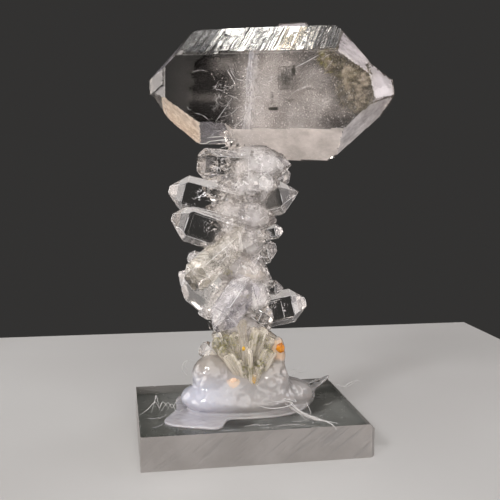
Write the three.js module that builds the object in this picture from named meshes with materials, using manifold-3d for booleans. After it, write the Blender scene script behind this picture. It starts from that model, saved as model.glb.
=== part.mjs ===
// A vertical cluster of quartz crystals, glued upright on a small clear acrylic block.
// Millimetres, +Z up, -Y is the front. The origin is the middle of the block's underside.

import * as THREE from 'three';
import { ConvexGeometry } from 'three/addons/geometries/ConvexGeometry.js';
import { mergeVertices } from 'three/addons/utils/BufferGeometryUtils.js';
import Module from 'manifold-3d';

const wasm = await Module();
wasm.setup();

const { degToRad } = THREE.MathUtils;

// ---------------------------------------------------------------- driving dimensions

const BLOCK_WIDTH = 40.4;
const BLOCK_DEPTH = 27.5;
const BLOCK_HEIGHT = 6;
const EDGE_CHAMFER = 1.0; // along the top of the right side
const CORNER_CHAMFER = 0.7; // upright, at the front right corner

const GLUE_GAP = 0.3; // between the crystals and the glue that grips them

const TIP_FACE_ANGLE = degToRad(51.79); // quartz: from the long axis to a tip face's normal
const TIP_COS = Math.cos(TIP_FACE_ANGLE);
const TIP_SIN = Math.sin(TIP_FACE_ANGLE);
const CHISEL = 1.817; // length of a tip's ridge for 1 mm that its two broad faces are set back
const SIDE_TO_WIDE = Math.sqrt(3) / 4; // a slanting side face's distance for a crystal 1 mm wide

// The six sides of a crystal, as the angle of each normal round the long axis from local +Y to +Z.
const FRONT = 180;
const FRONT_TOP = 120;
const BACK_TOP = 60;
const BACK = 0;
const BACK_LOW = 300;
const FRONT_LOW = 240;
const SIDES = [FRONT, FRONT_TOP, BACK_TOP, BACK, BACK_LOW, FRONT_LOW];

// The big doubly ended crystal: its middle, the way its right end points, and the parallel
// crystals it is made of. Distances follow the order of SIDES; reaches are where each tip face
// would cross the long axis.
const HEAD_MIDDLE = [3.4, 0, 64.4];
const HEAD_BEARING = -24;
const HEAD_PARTS = [
  { // the main plate, from tip to tip
    sides: [6, 7.1, 9.7, 6.6, 9.3, 9.4],
    right: [26.1, 21.9, 23.6, 18.6, 24.0, 25.4],
    left: [25.0, 24.2, 27, 17.8, 24.6, 23.2],
  },
  { // the upper of the two left tips
    sides: [5.8, 6.6, 9.0, 6.0, 2.2, 3.2],
    right: [10, 10, 10, 10, 10, 10],
    left: [25.3, 24.3, 25.3, 17.0, 26, 26],
  },
  { // the lower left tip, set back
    sides: [4.2, 2.0, 4.0, 6.2, 9.3, 9.0],
    right: [4, 4, 4, 4, 4, 4],
    left: [24.7, 21.0, 21.3, 17.1, 26.0, 26.0],
  },
  { // the right tip
    sides: [5.8, 4.6, 7.6, 6.2, 8.6, 8.4],
    right: [26.0, 23.1, 23.3, 18.5, 24.0, 25.0],
    left: [8, 8, 8, 8, 8, 8],
  },
  { // the deeper belly on the right
    sides: [5.5, 5.4, 8.6, 6.3, 12.4, 11.0],
    right: [25.0, 20.6, 20.4, 18.6, 26.2, 26.4],
    left: [18, 10, 10, 16, 19, 18],
  },
  { // the raised slab along the top
    sides: [5.8, 7.3, 11.0, 6.2, 6, 6],
    right: [19, 19.6, 22.8, 18, 14, 14],
    left: [18, 19.6, 24.4, 17, 14, 14],
  },
  { // the highest ledge
    sides: [1.4, 7.8, 12.0, 6.0, 4, 4],
    right: [18, 15.3, 21, 18, 14, 14],
    left: [9, 8.8, 14.5, 12, 8, 8],
  },
];

// Crystals that stand out from the stem: where the tip is, the way it points, how wide it is
// (up and down), how thick (front to back), how long down to its root, and its tip's ridge.
const SIDE_CRYSTALS = [
  { tip: [-9.7, -3, 50.5], bearing: -165, rise: 4, wide: 5.6, thick: 4.5, length: 9, ridge: 2.6 },
  { tip: [-14.4, -1, 46.0], bearing: 178, rise: 14, wide: 6.4, thick: 3.8, length: 13, ridge: 1.0 },
  { tip: [-14.1, -2.5, 41.2], bearing: -177, rise: 19, wide: 6.8, thick: 4, length: 13, ridge: 1.2 },
  { tip: [-11.1, -1, 34.1], bearing: 178, rise: 20, wide: 2.8, thick: 2, length: 8, ridge: 1 },
  { tip: [-11.0, 1, 31.6], bearing: 161, rise: -7, wide: 2, thick: 1.6, length: 8, ridge: 0.3 },
  { tip: [-12.5, 3, 30.5], bearing: 148, rise: 30, wide: 7.4, thick: 4, length: 12, ridge: 0.2 },
  { tip: [-11.5, -5, 29.7], bearing: -159, rise: -36, wide: 5.8, thick: 5, length: 14, ridge: 2.5 },
  { tip: [-6.9, -5.5, 21.4], bearing: -151, rise: -47, wide: 6.2, thick: 4.5, length: 11, ridge: 1 },
  { tip: [-9.4, -2, 23.9], bearing: -179, rise: -9, wide: 3, thick: 2.4, length: 8, ridge: 0.5 },
  { tip: [-6.8, -3, 21.2], bearing: 175, rise: -35, wide: 1.8, thick: 1.6, length: 5, ridge: 0.3 },
  { tip: [8.6, -2, 45.6], bearing: -24, rise: 14, wide: 7, thick: 4.2, length: 13, ridge: 0.2 },
  { tip: [3.4, -4.5, 47.7], bearing: -40, rise: 21, wide: 3.4, thick: 3, length: 8, ridge: 1.3 },
  { tip: [6.3, -1, 48.1], bearing: -20, rise: 2, wide: 2.2, thick: 2, length: 8, ridge: 0.2 },
  { tip: [8.2, 3, 47.8], bearing: 4, rise: -11, wide: 4.6, thick: 3, length: 9, ridge: 1.8 },
  { tip: [6.2, -0.5, 38.5], bearing: -14, rise: 11, wide: 2.8, thick: 2.2, length: 8, ridge: 0.8 },
  { tip: [5.6, 2, 35.1], bearing: 2, rise: 14, wide: 5, thick: 3.4, length: 9, ridge: 1.5 },
  { tip: [4.5, 2, 29.1], bearing: -10, rise: 0, wide: 1.6, thick: 1.4, length: 6, ridge: 0.3 },
  { tip: [6.2, -1.5, 28.0], bearing: -15, rise: -2, wide: 2.8, thick: 2.4, length: 9, ridge: 0.3 },
  { tip: [10.9, 0, 25.0], bearing: -17, rise: 14, wide: 6.4, thick: 4, length: 13, ridge: 1.4 },
  { tip: [3.5, -5, 22.7], bearing: -42, rise: -26, wide: 3.8, thick: 3, length: 9, ridge: 1.0 },
  { tip: [-9.0, -1, 17.5], bearing: -177, rise: 26, wide: 3, thick: 2.6, length: 6, ridge: 1.8 },
];

// Milky crystals lying across the stem, one above another: middle, bearing, rise and size.
const CORE_CRYSTALS = [
  { middle: [0.8, 0, 50.0], bearing: -20, rise: 4, wide: 9, thick: 8, length: 13 },
  { middle: [-0.6, -0.4, 46.4], bearing: -28, rise: 8, wide: 8, thick: 7.6, length: 12 },
  { middle: [-1.4, 0.2, 41.4], bearing: -14, rise: -10, wide: 8, thick: 7.4, length: 12 },
  { middle: [-1.6, -0.3, 36.4], bearing: -34, rise: 9, wide: 8, thick: 7.6, length: 12.5 },
  { middle: [-1.2, 0, 31.2], bearing: -18, rise: -24, wide: 8.6, thick: 7.6, length: 12.5 },
  { middle: [-1.8, 0.4, 26.2], bearing: -30, rise: 16, wide: 7.4, thick: 7, length: 11 },
  { middle: [-1.0, 0.2, 21.6], bearing: -12, rise: -8, wide: 7, thick: 6.4, length: 10 },
  { middle: [-0.6, 0.2, 17.0], bearing: -26, rise: 6, wide: 6.6, thick: 6, length: 9 },
  { middle: [0.2, -1.6, 27.6], bearing: -34, rise: -73, wide: 6.6, thick: 5, length: 12 },
];

// Thin blades that spray upward from one root, at the foot of the stem.
const SPRAY_ROOT = [-0.5, -1.6, 11.4];
const BLADE_TWIST = 25; // degrees, from one side to the other
const BLADE_RIDGE = 0.4; // of a blade's width
const SPRAY_BLADES = [
  { tip: [-8.2, -1.6, 16.6], wide: 2.6, thick: 1.5 },
  { tip: [-6.7, -3, 19.4], wide: 2.6, thick: 1.3 },
  { tip: [-5.9, -4, 18.0], wide: 2.2, thick: 1.2 },
  { tip: [-4.9, -3, 20.2], wide: 2.4, thick: 1.3 },
  { tip: [-3.4, -3.4, 20.6], wide: 2.2, thick: 1.2 },
  { tip: [-1.7, -3, 23.0], wide: 2.4, thick: 1.6 },
  { tip: [0.7, -4, 21.5], wide: 2.0, thick: 1.3 },
  { tip: [2.5, -3, 21.2], wide: 2.6, thick: 1.3 },
  { tip: [3.9, -3, 19.4], wide: 2.4, thick: 1.4 },
  { tip: [5.4, -2.2, 17.2], wide: 2.6, thick: 1.4 },
  { tip: [-5.6, 3.4, 19.6], wide: 2.8, thick: 1.5 },
  { tip: [-2.2, 4.8, 20.8], wide: 2.6, thick: 1.4 },
  { tip: [1.8, 4.4, 20.0], wide: 2.8, thick: 1.5 },
  { tip: [5.0, 2.8, 18.4], wide: 2.4, thick: 1.4 },
];

// Crystals on the far side of the stem, spaced up it like those in front: their bearings fan out
// to both sides of straight back, and their tips stand this far out from the stem's axis.
const BACK_CRYSTALS = {
  count: 13,
  axisX: -1,
  lowest: 17.5,
  highest: 49,
  straightBack: 82,
  fan: { least: 25, most: 66 },
  out: { least: 6.2, most: 9.6 },
  wide: { least: 3.2, most: 6.4 },
  rise: { least: -14, most: 20 },
  roll: { least: -10, most: 10 },
  thickness: 0.66, // of the width
  ridge: 0.8,
};

// How far faces stray from an even crystal's, as a share of its size.
const POINTED_UNEVEN = 0.1;
const DOUBLE_UNEVEN = 0.16;

// Where each group's small chance differences start.
const SEED = { placing: 41, core: 100, side: 200, spray: 300, back: 500 };

// Hot-melt glue: middles and half sizes of the lobes that run together.
const GLUE_LOBES = [
  { middle: [-0.8, -0.8, 8.2], half: [10.6, 7.2, 2.8] }, // the thick bead all round
  { middle: [-7.4, -2.6, 8.7], half: [4.9, 4.5, 2.5] },
  { middle: [-6.8, -2.2, 12.6], half: [3.8, 3.7, 3.6] }, // upper left lobe
  { middle: [-2.6, -3.2, 10.4], half: [4.2, 3.6, 2.8] },
  { middle: [3.4, -2.2, 11.0], half: [3.9, 3.9, 4.0] }, // upper right lobe
  { middle: [5.0, -2.4, 15.6], half: [1.5, 2.2, 3.7] }, // the tongue that runs up the crystals
  { middle: [6.0, 0.2, 7.6], half: [6.3, 4.6, 3.2] }, // slopes down to the right
  { middle: [-4.4, 3.4, 11.0], half: [4.8, 3.8, 3.5] },
  { middle: [3.0, 3.6, 10.8], half: [4.8, 3.8, 3.4] },
];
const GLUE_MIDDLE = [-1.0, 0, 8.0]; // every part of the mound's skin can be seen from here
const GLUE_BLEND = 1.9; // how sharply lobes meet, per mm
const GLUE_REACH = 20; // each ray starts this far out
const GLUE_STEP = 0.05; // and comes in by steps this long
const GLUE_FOOT = [ // the thin skirt squeezed out on the block
  [-15.8, -8.4], [-8.9, -12.1], [-6.5, -11.7], [-4.6, -8.2], [-0.4, -8.3], [4.6, -7.8],
  [9.6, -4.8], [13.9, 3.6], [11.2, 8.2], [3.0, 9.4], [-6.0, 9.2], [-12.4, 5.4], [-13.6, -2.0],
];
const FOOT_HEIGHT = 0.9;
const GLUE_FILM = [ // a thinner film, smeared out to the far right corner
  [4.0, 6.0], [12.2, 3.0], [15.4, 7.4], [19.2, 12.0], [15.6, 11.6], [12.6, 12.8], [7.6, 11.2],
];
const FILM_HEIGHT = 0.4;
const STRAND = { // a drawn-out string of glue from the mound to the block's front edge
  points: [[4.6, -4.6, 8.4], [7.2, -8.2, 7.2], [9.4, -11.0, 6.7], [12.2, -13.2, 6.5]],
  radius: 0.42,
};

// ---------------------------------------------------------------- solids and booleans

function toSolid(geometry) {
  const bare = geometry.index ? geometry.toNonIndexed() : geometry.clone();
  bare.deleteAttribute('normal');
  bare.deleteAttribute('uv');
  const merged = mergeVertices(bare, 1e-4);
  return new wasm.Manifold(new wasm.Mesh({
    numProp: 3,
    vertProperties: new Float32Array(merged.attributes.position.array),
    triVerts: new Uint32Array(merged.index.array),
  }));
}

function toGeometry(solid) {
  const { vertProperties, triVerts } = solid.getMesh();
  const geometry = new THREE.BufferGeometry();
  geometry.setAttribute('position', new THREE.BufferAttribute(new Float32Array(vertProperties), 3));
  geometry.setIndex(new THREE.BufferAttribute(new Uint32Array(triVerts), 1));
  const faceted = geometry.toNonIndexed();
  faceted.computeVertexNormals();
  return faceted;
}

function unite(solids) {
  return solids.reduce((whole, solid) => whole.add(solid));
}

// The biggest closed skin alone: loose crumbs go, and so does any pocket sealed inside.
function outerSkin(solid) {
  return solid.decompose().sort((a, b) => b.volume() - a.volume())[0];
}

function namedMesh(name, solid, material) {
  const mesh = new THREE.Mesh(toGeometry(solid), material);
  mesh.name = name;
  return mesh;
}

function seededRandom(seed) {
  let state = seed >>> 0;
  return () => {
    state = (state + 0x6d2b79f5) >>> 0;
    let mixed = Math.imul(state ^ (state >>> 15), state | 1);
    mixed ^= mixed + Math.imul(mixed ^ (mixed >>> 7), mixed | 61);
    return ((mixed ^ (mixed >>> 14)) >>> 0) / 4294967296;
  };
}

// ---------------------------------------------------------------- quartz crystals

// Every crystal is the space inside a set of flat faces, each { normal, distance }.
function sideFace(side, distance) {
  const angle = degToRad(side);
  return { normal: new THREE.Vector3(0, Math.cos(angle), Math.sin(angle)), distance };
}

function tipFace(side, reach, end) {
  const angle = degToRad(side);
  const normal = new THREE.Vector3(0, Math.cos(angle), Math.sin(angle)).multiplyScalar(TIP_SIN);
  normal.x = end * TIP_COS;
  return { normal, distance: reach * TIP_COS };
}

const ON_FACE = 1e-6; // rounding allowed before a corner counts as outside a face
const SAME_CORNER = 2e-3; // corners closer than this are one
const PARALLEL = 1e-6;

function crossing(a, b, c) {
  const matrix = new THREE.Matrix3().set(
    a.normal.x, a.normal.y, a.normal.z,
    b.normal.x, b.normal.y, b.normal.z,
    c.normal.x, c.normal.y, c.normal.z,
  );
  if (Math.abs(matrix.determinant()) < PARALLEL) return null;
  return new THREE.Vector3(a.distance, b.distance, c.distance).applyMatrix3(matrix.invert());
}

function cornersOf(faces) {
  const corners = [];
  for (let i = 0; i < faces.length; i += 1) {
    for (let j = i + 1; j < faces.length; j += 1) {
      for (let k = j + 1; k < faces.length; k += 1) {
        const corner = crossing(faces[i], faces[j], faces[k]);
        if (!corner || faces.some((face) => face.normal.dot(corner) > face.distance + ON_FACE)) continue;
        if (corners.every((other) => other.distanceTo(corner) > SAME_CORNER)) corners.push(corner);
      }
    }
  }
  return corners;
}

// The long axis is local +X; bearing turns it round Z, rise lifts its end, roll spins it.
function placement({ at, bearing, rise, roll = 0 }) {
  return new THREE.Matrix4().makeTranslation(...at)
    .multiply(new THREE.Matrix4().makeRotationZ(degToRad(bearing)))
    .multiply(new THREE.Matrix4().makeRotationY(-degToRad(rise)))
    .multiply(new THREE.Matrix4().makeRotationX(degToRad(roll)));
}

function facedSolid(faces, grow, matrix) {
  const grown = faces.map(({ normal, distance }) => ({ normal, distance: distance + grow }));
  return toSolid(new ConvexGeometry(cornersOf(grown)).applyMatrix4(matrix));
}

function isBroad(side) {
  return side === FRONT || side === BACK;
}

// The six sides, each a little nearer or further than an even crystal's.
function crystalSides({ wide, thick }, uneven, random) {
  return SIDES.map((side) => {
    const even = isBroad(side) ? thick / 2 : wide * SIDE_TO_WIDE;
    return sideFace(side, even * (1 + uneven * (random() - 0.5)));
  });
}

// A crystal with one tip at the origin of its placement; its root end is cut square.
function pointedCrystal(spec, seed, grow) {
  const { wide, length, ridge } = spec;
  const random = seededRandom(seed);
  const faces = crystalSides(spec, POINTED_UNEVEN, random);
  for (const side of SIDES) {
    const reach = isBroad(side) ? 0 : ridge / CHISEL + wide * POINTED_UNEVEN * (random() - 0.3);
    faces.push(tipFace(side, reach, 1));
  }
  faces.push({ normal: new THREE.Vector3(-1, 0, 0), distance: length });
  return facedSolid(faces, grow, placement({ ...spec, at: spec.tip }));
}

// A crystal with a tip at both ends, about the middle of its placement.
function doubleCrystal(spec, seed, grow) {
  const { wide, length } = spec;
  const random = seededRandom(seed);
  const faces = crystalSides(spec, DOUBLE_UNEVEN, random);
  for (const end of [1, -1]) {
    for (const side of SIDES) {
      faces.push(tipFace(side, length / 2 + wide * DOUBLE_UNEVEN * random(), end));
    }
  }
  return facedSolid(faces, grow, placement({ ...spec, at: spec.middle }));
}

function headCrystals(grow) {
  const matrix = placement({ at: HEAD_MIDDLE, bearing: HEAD_BEARING, rise: 0 });
  return HEAD_PARTS.map(({ sides, right, left }) => {
    const faces = SIDES.map((side, index) => sideFace(side, sides[index]));
    SIDES.forEach((side, index) => faces.push(tipFace(side, right[index], 1)));
    SIDES.forEach((side, index) => faces.push(tipFace(side, left[index], -1)));
    return facedSolid(faces, grow, matrix);
  });
}

// A blade from the spray's root to its tip, lying across the view with its flat side forward.
function sprayBlade({ tip, wide, thick }, seed, grow) {
  const along = new THREE.Vector3(...tip).sub(new THREE.Vector3(...SPRAY_ROOT));
  const length = along.length();
  const bearing = THREE.MathUtils.radToDeg(Math.atan2(along.y, along.x));
  const rise = THREE.MathUtils.radToDeg(Math.asin(along.z / length));
  const roll = BLADE_TWIST * (seededRandom(seed)() - 0.5);
  const spec = { tip, bearing, rise, roll, wide, thick, length, ridge: wide * BLADE_RIDGE };
  return pointedCrystal(spec, seed, grow);
}

function backCrystals(grow) {
  const { count, axisX, lowest, highest, straightBack, thickness, ridge } = BACK_CRYSTALS;
  const random = seededRandom(SEED.placing);
  const pick = ({ least, most }) => least + (most - least) * random();
  const solids = [];
  for (let i = 0; i < count; i += 1) {
    const bearing = straightBack + (i % 2 ? 1 : -1) * pick(BACK_CRYSTALS.fan);
    const out = pick(BACK_CRYSTALS.out);
    const height = lowest + (highest - lowest) * (i / (count - 1));
    const tip = [axisX + out * Math.cos(degToRad(bearing)), out * Math.sin(degToRad(bearing)), height];
    const wide = pick(BACK_CRYSTALS.wide);
    const rise = pick(BACK_CRYSTALS.rise);
    const roll = pick(BACK_CRYSTALS.roll);
    const spec = { tip, bearing, rise, roll, wide, thick: wide * thickness, length: out + 1, ridge };
    solids.push(pointedCrystal(spec, SEED.back + i, grow));
  }
  return solids;
}

function clusterSolid(grow = 0) {
  return outerSkin(unite([
    ...headCrystals(grow),
    ...CORE_CRYSTALS.map((spec, index) => doubleCrystal(spec, SEED.core + index, grow)),
    ...SIDE_CRYSTALS.map((spec, index) => pointedCrystal(spec, SEED.side + index, grow)),
    ...SPRAY_BLADES.map((spec, index) => sprayBlade(spec, SEED.spray + index, grow)),
    ...backCrystals(grow),
  ]));
}

// ---------------------------------------------------------------- glue

// Below 0 inside the mound: the lobes' own fields, blended so that no crease is left between them.
function glueField(point) {
  const near = GLUE_LOBES.map(({ middle, half }) => {
    const across = Math.hypot(...middle.map((at, axis) => (point.getComponent(axis) - at) / half[axis]));
    return Math.exp(-GLUE_BLEND * (across - 1) * Math.min(...half));
  });
  return -Math.log(near.reduce((sum, value) => sum + value)) / GLUE_BLEND;
}

// A sphere about the mound's middle, each point drawn in along its own ray to the glue's skin.
function glueMound() {
  const middle = new THREE.Vector3(...GLUE_MIDDLE);
  const mound = new THREE.SphereGeometry(1, 46, 30);
  const position = mound.attributes.position;
  const ray = new THREE.Vector3();
  const point = new THREE.Vector3();
  for (let i = 0; i < position.count; i += 1) {
    ray.fromBufferAttribute(position, i).normalize();
    let distance = GLUE_REACH;
    do {
      distance -= GLUE_STEP;
      point.copy(middle).addScaledVector(ray, distance);
    } while (glueField(point) > 0);
    position.setXYZ(i, point.x, point.y, point.z);
  }
  return toSolid(mound);
}

function glueSheet(points, height) {
  const curve = new THREE.CatmullRomCurve3(
    points.map(([x, y]) => new THREE.Vector3(x, y, 0)),
    true,
    'centripetal',
  );
  const outline = new THREE.Shape();
  const corners = curve.getPoints(4 * points.length).slice(0, -1);
  outline.setFromPoints(corners.map(({ x, y }) => new THREE.Vector2(x, y)));
  const sheet = new THREE.ExtrudeGeometry(outline, { depth: height, bevelEnabled: false });
  sheet.translate(0, 0, BLOCK_HEIGHT);
  return toSolid(sheet);
}

function glueStrand() {
  const section = new THREE.Shape();
  section.absarc(0, 0, STRAND.radius, 0, 2 * Math.PI);
  const path = new THREE.CatmullRomCurve3(STRAND.points.map((point) => new THREE.Vector3(...point)));
  return toSolid(new THREE.ExtrudeGeometry(section, {
    steps: 14,
    curveSegments: 4,
    extrudePath: path,
    bevelEnabled: false,
  }));
}

function glueSolid() {
  const under = new THREE.BoxGeometry(BLOCK_WIDTH, BLOCK_WIDTH, BLOCK_WIDTH);
  under.translate(0, 0, BLOCK_HEIGHT - BLOCK_WIDTH / 2);
  const poured = unite([
    glueMound(),
    glueSheet(GLUE_FOOT, FOOT_HEIGHT),
    glueSheet(GLUE_FILM, FILM_HEIGHT),
    glueStrand(),
  ]);
  return outerSkin(poured.subtract(toSolid(under)).subtract(clusterSolid(GLUE_GAP)));
}

// ---------------------------------------------------------------- acrylic block

function blockSolid() {
  const x = BLOCK_WIDTH / 2;
  const y = BLOCK_DEPTH / 2;
  const top = BLOCK_HEIGHT;
  const section = new THREE.Shape();
  section.moveTo(-x, 0);
  section.lineTo(x, 0);
  section.lineTo(x, top - EDGE_CHAMFER);
  section.lineTo(x - EDGE_CHAMFER, top);
  section.lineTo(-x, top);
  const bar = new THREE.ExtrudeGeometry(section, { depth: BLOCK_DEPTH, bevelEnabled: false });
  bar.rotateX(Math.PI / 2);
  bar.translate(0, y, 0);
  const across = CORNER_CHAMFER * Math.SQRT2; // a square post on the corner, turned 45 degrees
  const cornerCut = new THREE.BoxGeometry(across, across, 3 * top);
  cornerCut.rotateZ(Math.PI / 4);
  cornerCut.translate(x, -y, top / 2);
  return toSolid(bar).subtract(toSolid(cornerCut));
}

// ---------------------------------------------------------------- materials and assembly

const quartz = new THREE.MeshStandardMaterial({ color: 0xe4e0dd, roughness: 0.08, metalness: 0 });
const hotGlue = new THREE.MeshStandardMaterial({ color: 0xded9d8, roughness: 0.2, metalness: 0 });
const acrylic = new THREE.MeshStandardMaterial({ color: 0xc9c8c6, roughness: 0.25, metalness: 0 });

const cluster = new THREE.Group();
cluster.add(namedMesh('base_block', blockSolid(), acrylic));
cluster.add(namedMesh('glue_mound', glueSolid(), hotGlue));
cluster.add(namedMesh('quartz_cluster', clusterSolid(), quartz));

export default cluster;
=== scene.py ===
import itertools
import math
import random

import bmesh
import bpy
import numpy as np
from mathutils import Matrix, Vector, noise


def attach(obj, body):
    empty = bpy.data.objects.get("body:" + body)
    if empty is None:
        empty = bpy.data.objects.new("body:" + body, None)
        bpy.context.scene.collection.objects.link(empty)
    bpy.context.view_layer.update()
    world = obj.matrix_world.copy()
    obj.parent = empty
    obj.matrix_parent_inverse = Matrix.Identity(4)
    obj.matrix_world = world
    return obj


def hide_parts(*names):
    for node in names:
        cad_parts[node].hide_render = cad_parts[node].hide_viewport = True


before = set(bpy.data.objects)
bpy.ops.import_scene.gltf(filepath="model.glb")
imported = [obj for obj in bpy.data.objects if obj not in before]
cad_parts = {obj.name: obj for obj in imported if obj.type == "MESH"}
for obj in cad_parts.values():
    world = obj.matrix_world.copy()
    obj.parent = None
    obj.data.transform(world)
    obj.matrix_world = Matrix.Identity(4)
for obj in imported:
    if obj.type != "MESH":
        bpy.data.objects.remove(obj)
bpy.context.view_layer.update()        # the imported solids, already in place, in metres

mm = 0.001


def newObject(name, data):
    made = bpy.data.objects.new(name, data)
    bpy.context.scene.collection.objects.link(made)
    return made


def meshFrom(builder, name):
    mesh = bpy.data.meshes.new(name)
    builder.to_mesh(mesh)
    builder.free()
    return mesh


def meshObject(name, builder):
    return newObject(name, meshFrom(builder, name))


def addLayer(mesh, name, values, domain="POINT"):      # one number or vector for each point or face
    values = np.asarray(values, np.float32)
    kind, key = ("FLOAT_VECTOR", "vector") if values.ndim == 2 else ("FLOAT", "value")
    mesh.attributes.new(name, kind, domain).data.foreach_set(key, values.ravel())


def unit(vector):
    return vector / np.linalg.norm(vector)


# Camera, studio and floor

viewer = {
    "place": (-0.02324, -0.13118, 0.05133),
    "turn": 10.15,            # degrees to the right of straight ahead
    "down": 7.03,
    "roll": 0.4,
    "lens": 53.28,
}


def placeCamera(spec):
    turn, down, roll = (math.radians(spec[key]) for key in ("turn", "down", "roll"))
    ahead = Vector((math.sin(turn) * math.cos(down), math.cos(turn) * math.cos(down), -math.sin(down)))
    right = Vector((math.cos(turn), -math.sin(turn), 0))
    up = right.cross(ahead)
    across = right * math.cos(roll) + up * math.sin(roll)
    upward = up * math.cos(roll) - right * math.sin(roll)
    data = bpy.data.cameras.new("studioCamera")
    data.lens = spec["lens"]
    data.sensor_width = 36
    data.clip_start = 0.005
    camera = newObject("studioCamera", data)
    turned = Matrix((across, upward, -ahead)).transposed().to_4x4()
    camera.matrix_world = Matrix.Translation(spec["place"]) @ turned
    bpy.context.scene.camera = camera


softboxes = {       # compass and height from the cluster (degrees), reach and size (m), brightness, tint
    "frontDome": (255, 44, 0.75, (1.05, 0.70), 1.7, (1.0, 0.955, 0.925)),
    "overhead": (180, 80, 0.80, (0.60, 0.50), 1.7, (1.0, 0.98, 0.96)),
    "frontLow": (287, 15, 0.62, (0.50, 0.16), 1.6, (1.0, 0.955, 0.93)),
    "rightFront": (331, 8, 0.60, (0.30, 0.27), 3.2, (1.0, 0.93, 0.94)),
    "leftBehind": (150, 9, 0.60, (0.30, 0.30), 2.3, (1.0, 0.95, 0.93)),
    "rightHigh": (8, 40, 0.70, (0.36, 0.26), 2.6, (0.98, 0.95, 1.0)),
    "behindHigh": (84.9, 49, 0.70, (0.08, 0.11), 11.0, (1.0, 0.98, 0.94)),
    "window": (222, 36, 0.72, (0.09, 0.15), 42.0, (0.97, 0.98, 1.0)),
    "leftLow": (200, -3, 0.60, (0.35, 0.34), 4.0, (1.0, 0.94, 0.90)),
    "rightLow": (306, -12, 0.60, (0.30, 0.16), 3.0, (1.0, 0.95, 0.93)),
}
studio = {"target": (0.0, 0.0, 0.045), "backdrop": 0.032, "floorHalf": 0.088, "floorThick": 0.008,
          "floorSoft": 0.003}


def lightStudio():
    for name, (compass, height, reach, size, bright, tint) in softboxes.items():
        data = bpy.data.lights.new(name, "AREA")
        data.shape = "RECTANGLE"
        data.size, data.size_y = size
        data.energy = bright * math.pi * data.size * data.size_y
        data.color = tint
        light = newObject(name, data)
        compass, height = math.radians(compass), math.radians(height)
        away = Vector((math.cos(compass) * math.cos(height), math.sin(compass) * math.cos(height),
                       math.sin(height)))
        light.location = Vector(studio["target"]) + away * reach
        light.rotation_euler = (-away).to_track_quat("-Z", "Y").to_euler()
        light.visible_camera = False
    world = bpy.data.worlds.new("studioWorld")
    bpy.context.scene.world = world
    world.use_nodes = True
    dark = studio["backdrop"]
    world.node_tree.nodes["Background"].inputs["Color"].default_value = (dark * 1.03, dark, dark * 0.97, 1)
    bpy.context.scene.view_settings.view_transform = "Standard"


def layFloor():
    half, thick = studio["floorHalf"], studio["floorThick"]
    builder = bmesh.new()
    bmesh.ops.create_cube(builder, size=1)
    bmesh.ops.scale(builder, verts=builder.verts, vec=(2 * half, 2 * half, thick))
    bmesh.ops.translate(builder, verts=builder.verts, vec=(0, 0, -thick / 2))
    bmesh.ops.bevel(builder, geom=builder.edges[:], offset=studio["floorSoft"], segments=4, affect="EDGES")
    floor = meshObject("paleFloor", builder)
    floor.data.materials.append(floorFinish())


# Materials: shared effects first

def newGroup(name, inputs, outputs):
    group = bpy.data.node_groups.new(name, "ShaderNodeTree")
    for label, value in inputs.items():
        kind = "NodeSocketFloat" if isinstance(value, float) else "NodeSocketVector"
        socket = group.interface.new_socket(label, in_out="INPUT", socket_type=kind)
        if value is not None:
            socket.default_value = value
    for label in outputs:
        group.interface.new_socket(label, in_out="OUTPUT", socket_type="NodeSocketFloat")
    return group, group.nodes.new("NodeGroupInput"), group.nodes.new("NodeGroupOutput")


def setOrLink(tree, socket, value):
    if isinstance(value, (int, float)):
        socket.default_value = value
    else:
        tree.links.new(value, socket)


def mathNode(tree, operation, first, second=None, third=None, clamp=False):
    node = tree.nodes.new("ShaderNodeMath")
    node.operation = operation
    node.use_clamp = clamp
    for index, value in enumerate((first, second, third)):
        if value is not None:
            setOrLink(tree, node.inputs[index], value)
    return node.outputs[0]


def vectorNode(tree, operation, first, second, output="Vector"):
    node = tree.nodes.new("ShaderNodeVectorMath")
    node.operation = operation
    tree.links.new(first, node.inputs[0])
    tree.links.new(second, node.inputs["Scale" if operation == "SCALE" else 1])
    return node.outputs[output]


def noiseNode(tree, vector, scale, detail=4.0, roughness=0.6, dimensions="3D"):
    node = tree.nodes.new("ShaderNodeTexNoise")
    node.noise_dimensions = dimensions
    setOrLink(tree, node.inputs["Scale"], scale)
    node.inputs["Detail"].default_value = detail
    node.inputs["Roughness"].default_value = roughness
    tree.links.new(vector, node.inputs["W" if dimensions == "1D" else "Vector"])
    return node.outputs["Fac"]


def rampNode(tree, value, low, high, flip=False):
    node = tree.nodes.new("ShaderNodeMapRange")
    node.interpolation_type = "SMOOTHSTEP"
    limits = {"From Min": low, "From Max": high, "To Min": float(flip), "To Max": float(not flip)}
    for label, limit in limits.items():
        node.inputs[label].default_value = limit
    tree.links.new(value, node.inputs["Value"])
    return node.outputs[0]


def patchNode(tree, vector, scale, detail, roughness, low, high):
    return rampNode(tree, noiseNode(tree, vector, scale, detail, roughness), low, high)


def mixColour(tree, mask, first, second):
    node = tree.nodes.new("ShaderNodeMix")
    node.data_type = "RGBA"
    tree.links.new(mask, node.inputs["Factor"])
    for label, value in (("A", first), ("B", second)):
        socket = next(s for s in node.inputs if s.name == label and s.type == "RGBA")
        if isinstance(value, tuple):
            socket.default_value = (*value, 1)
        else:
            tree.links.new(value, socket)
    return next(s for s in node.outputs if s.type == "RGBA")


def objectCoords(tree):
    return tree.nodes.new("ShaderNodeTexCoord").outputs["Object"]


def attributeNode(tree, name, output="Fac"):
    node = tree.nodes.new("ShaderNodeAttribute")
    node.attribute_name = name
    return node.outputs[output]


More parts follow.
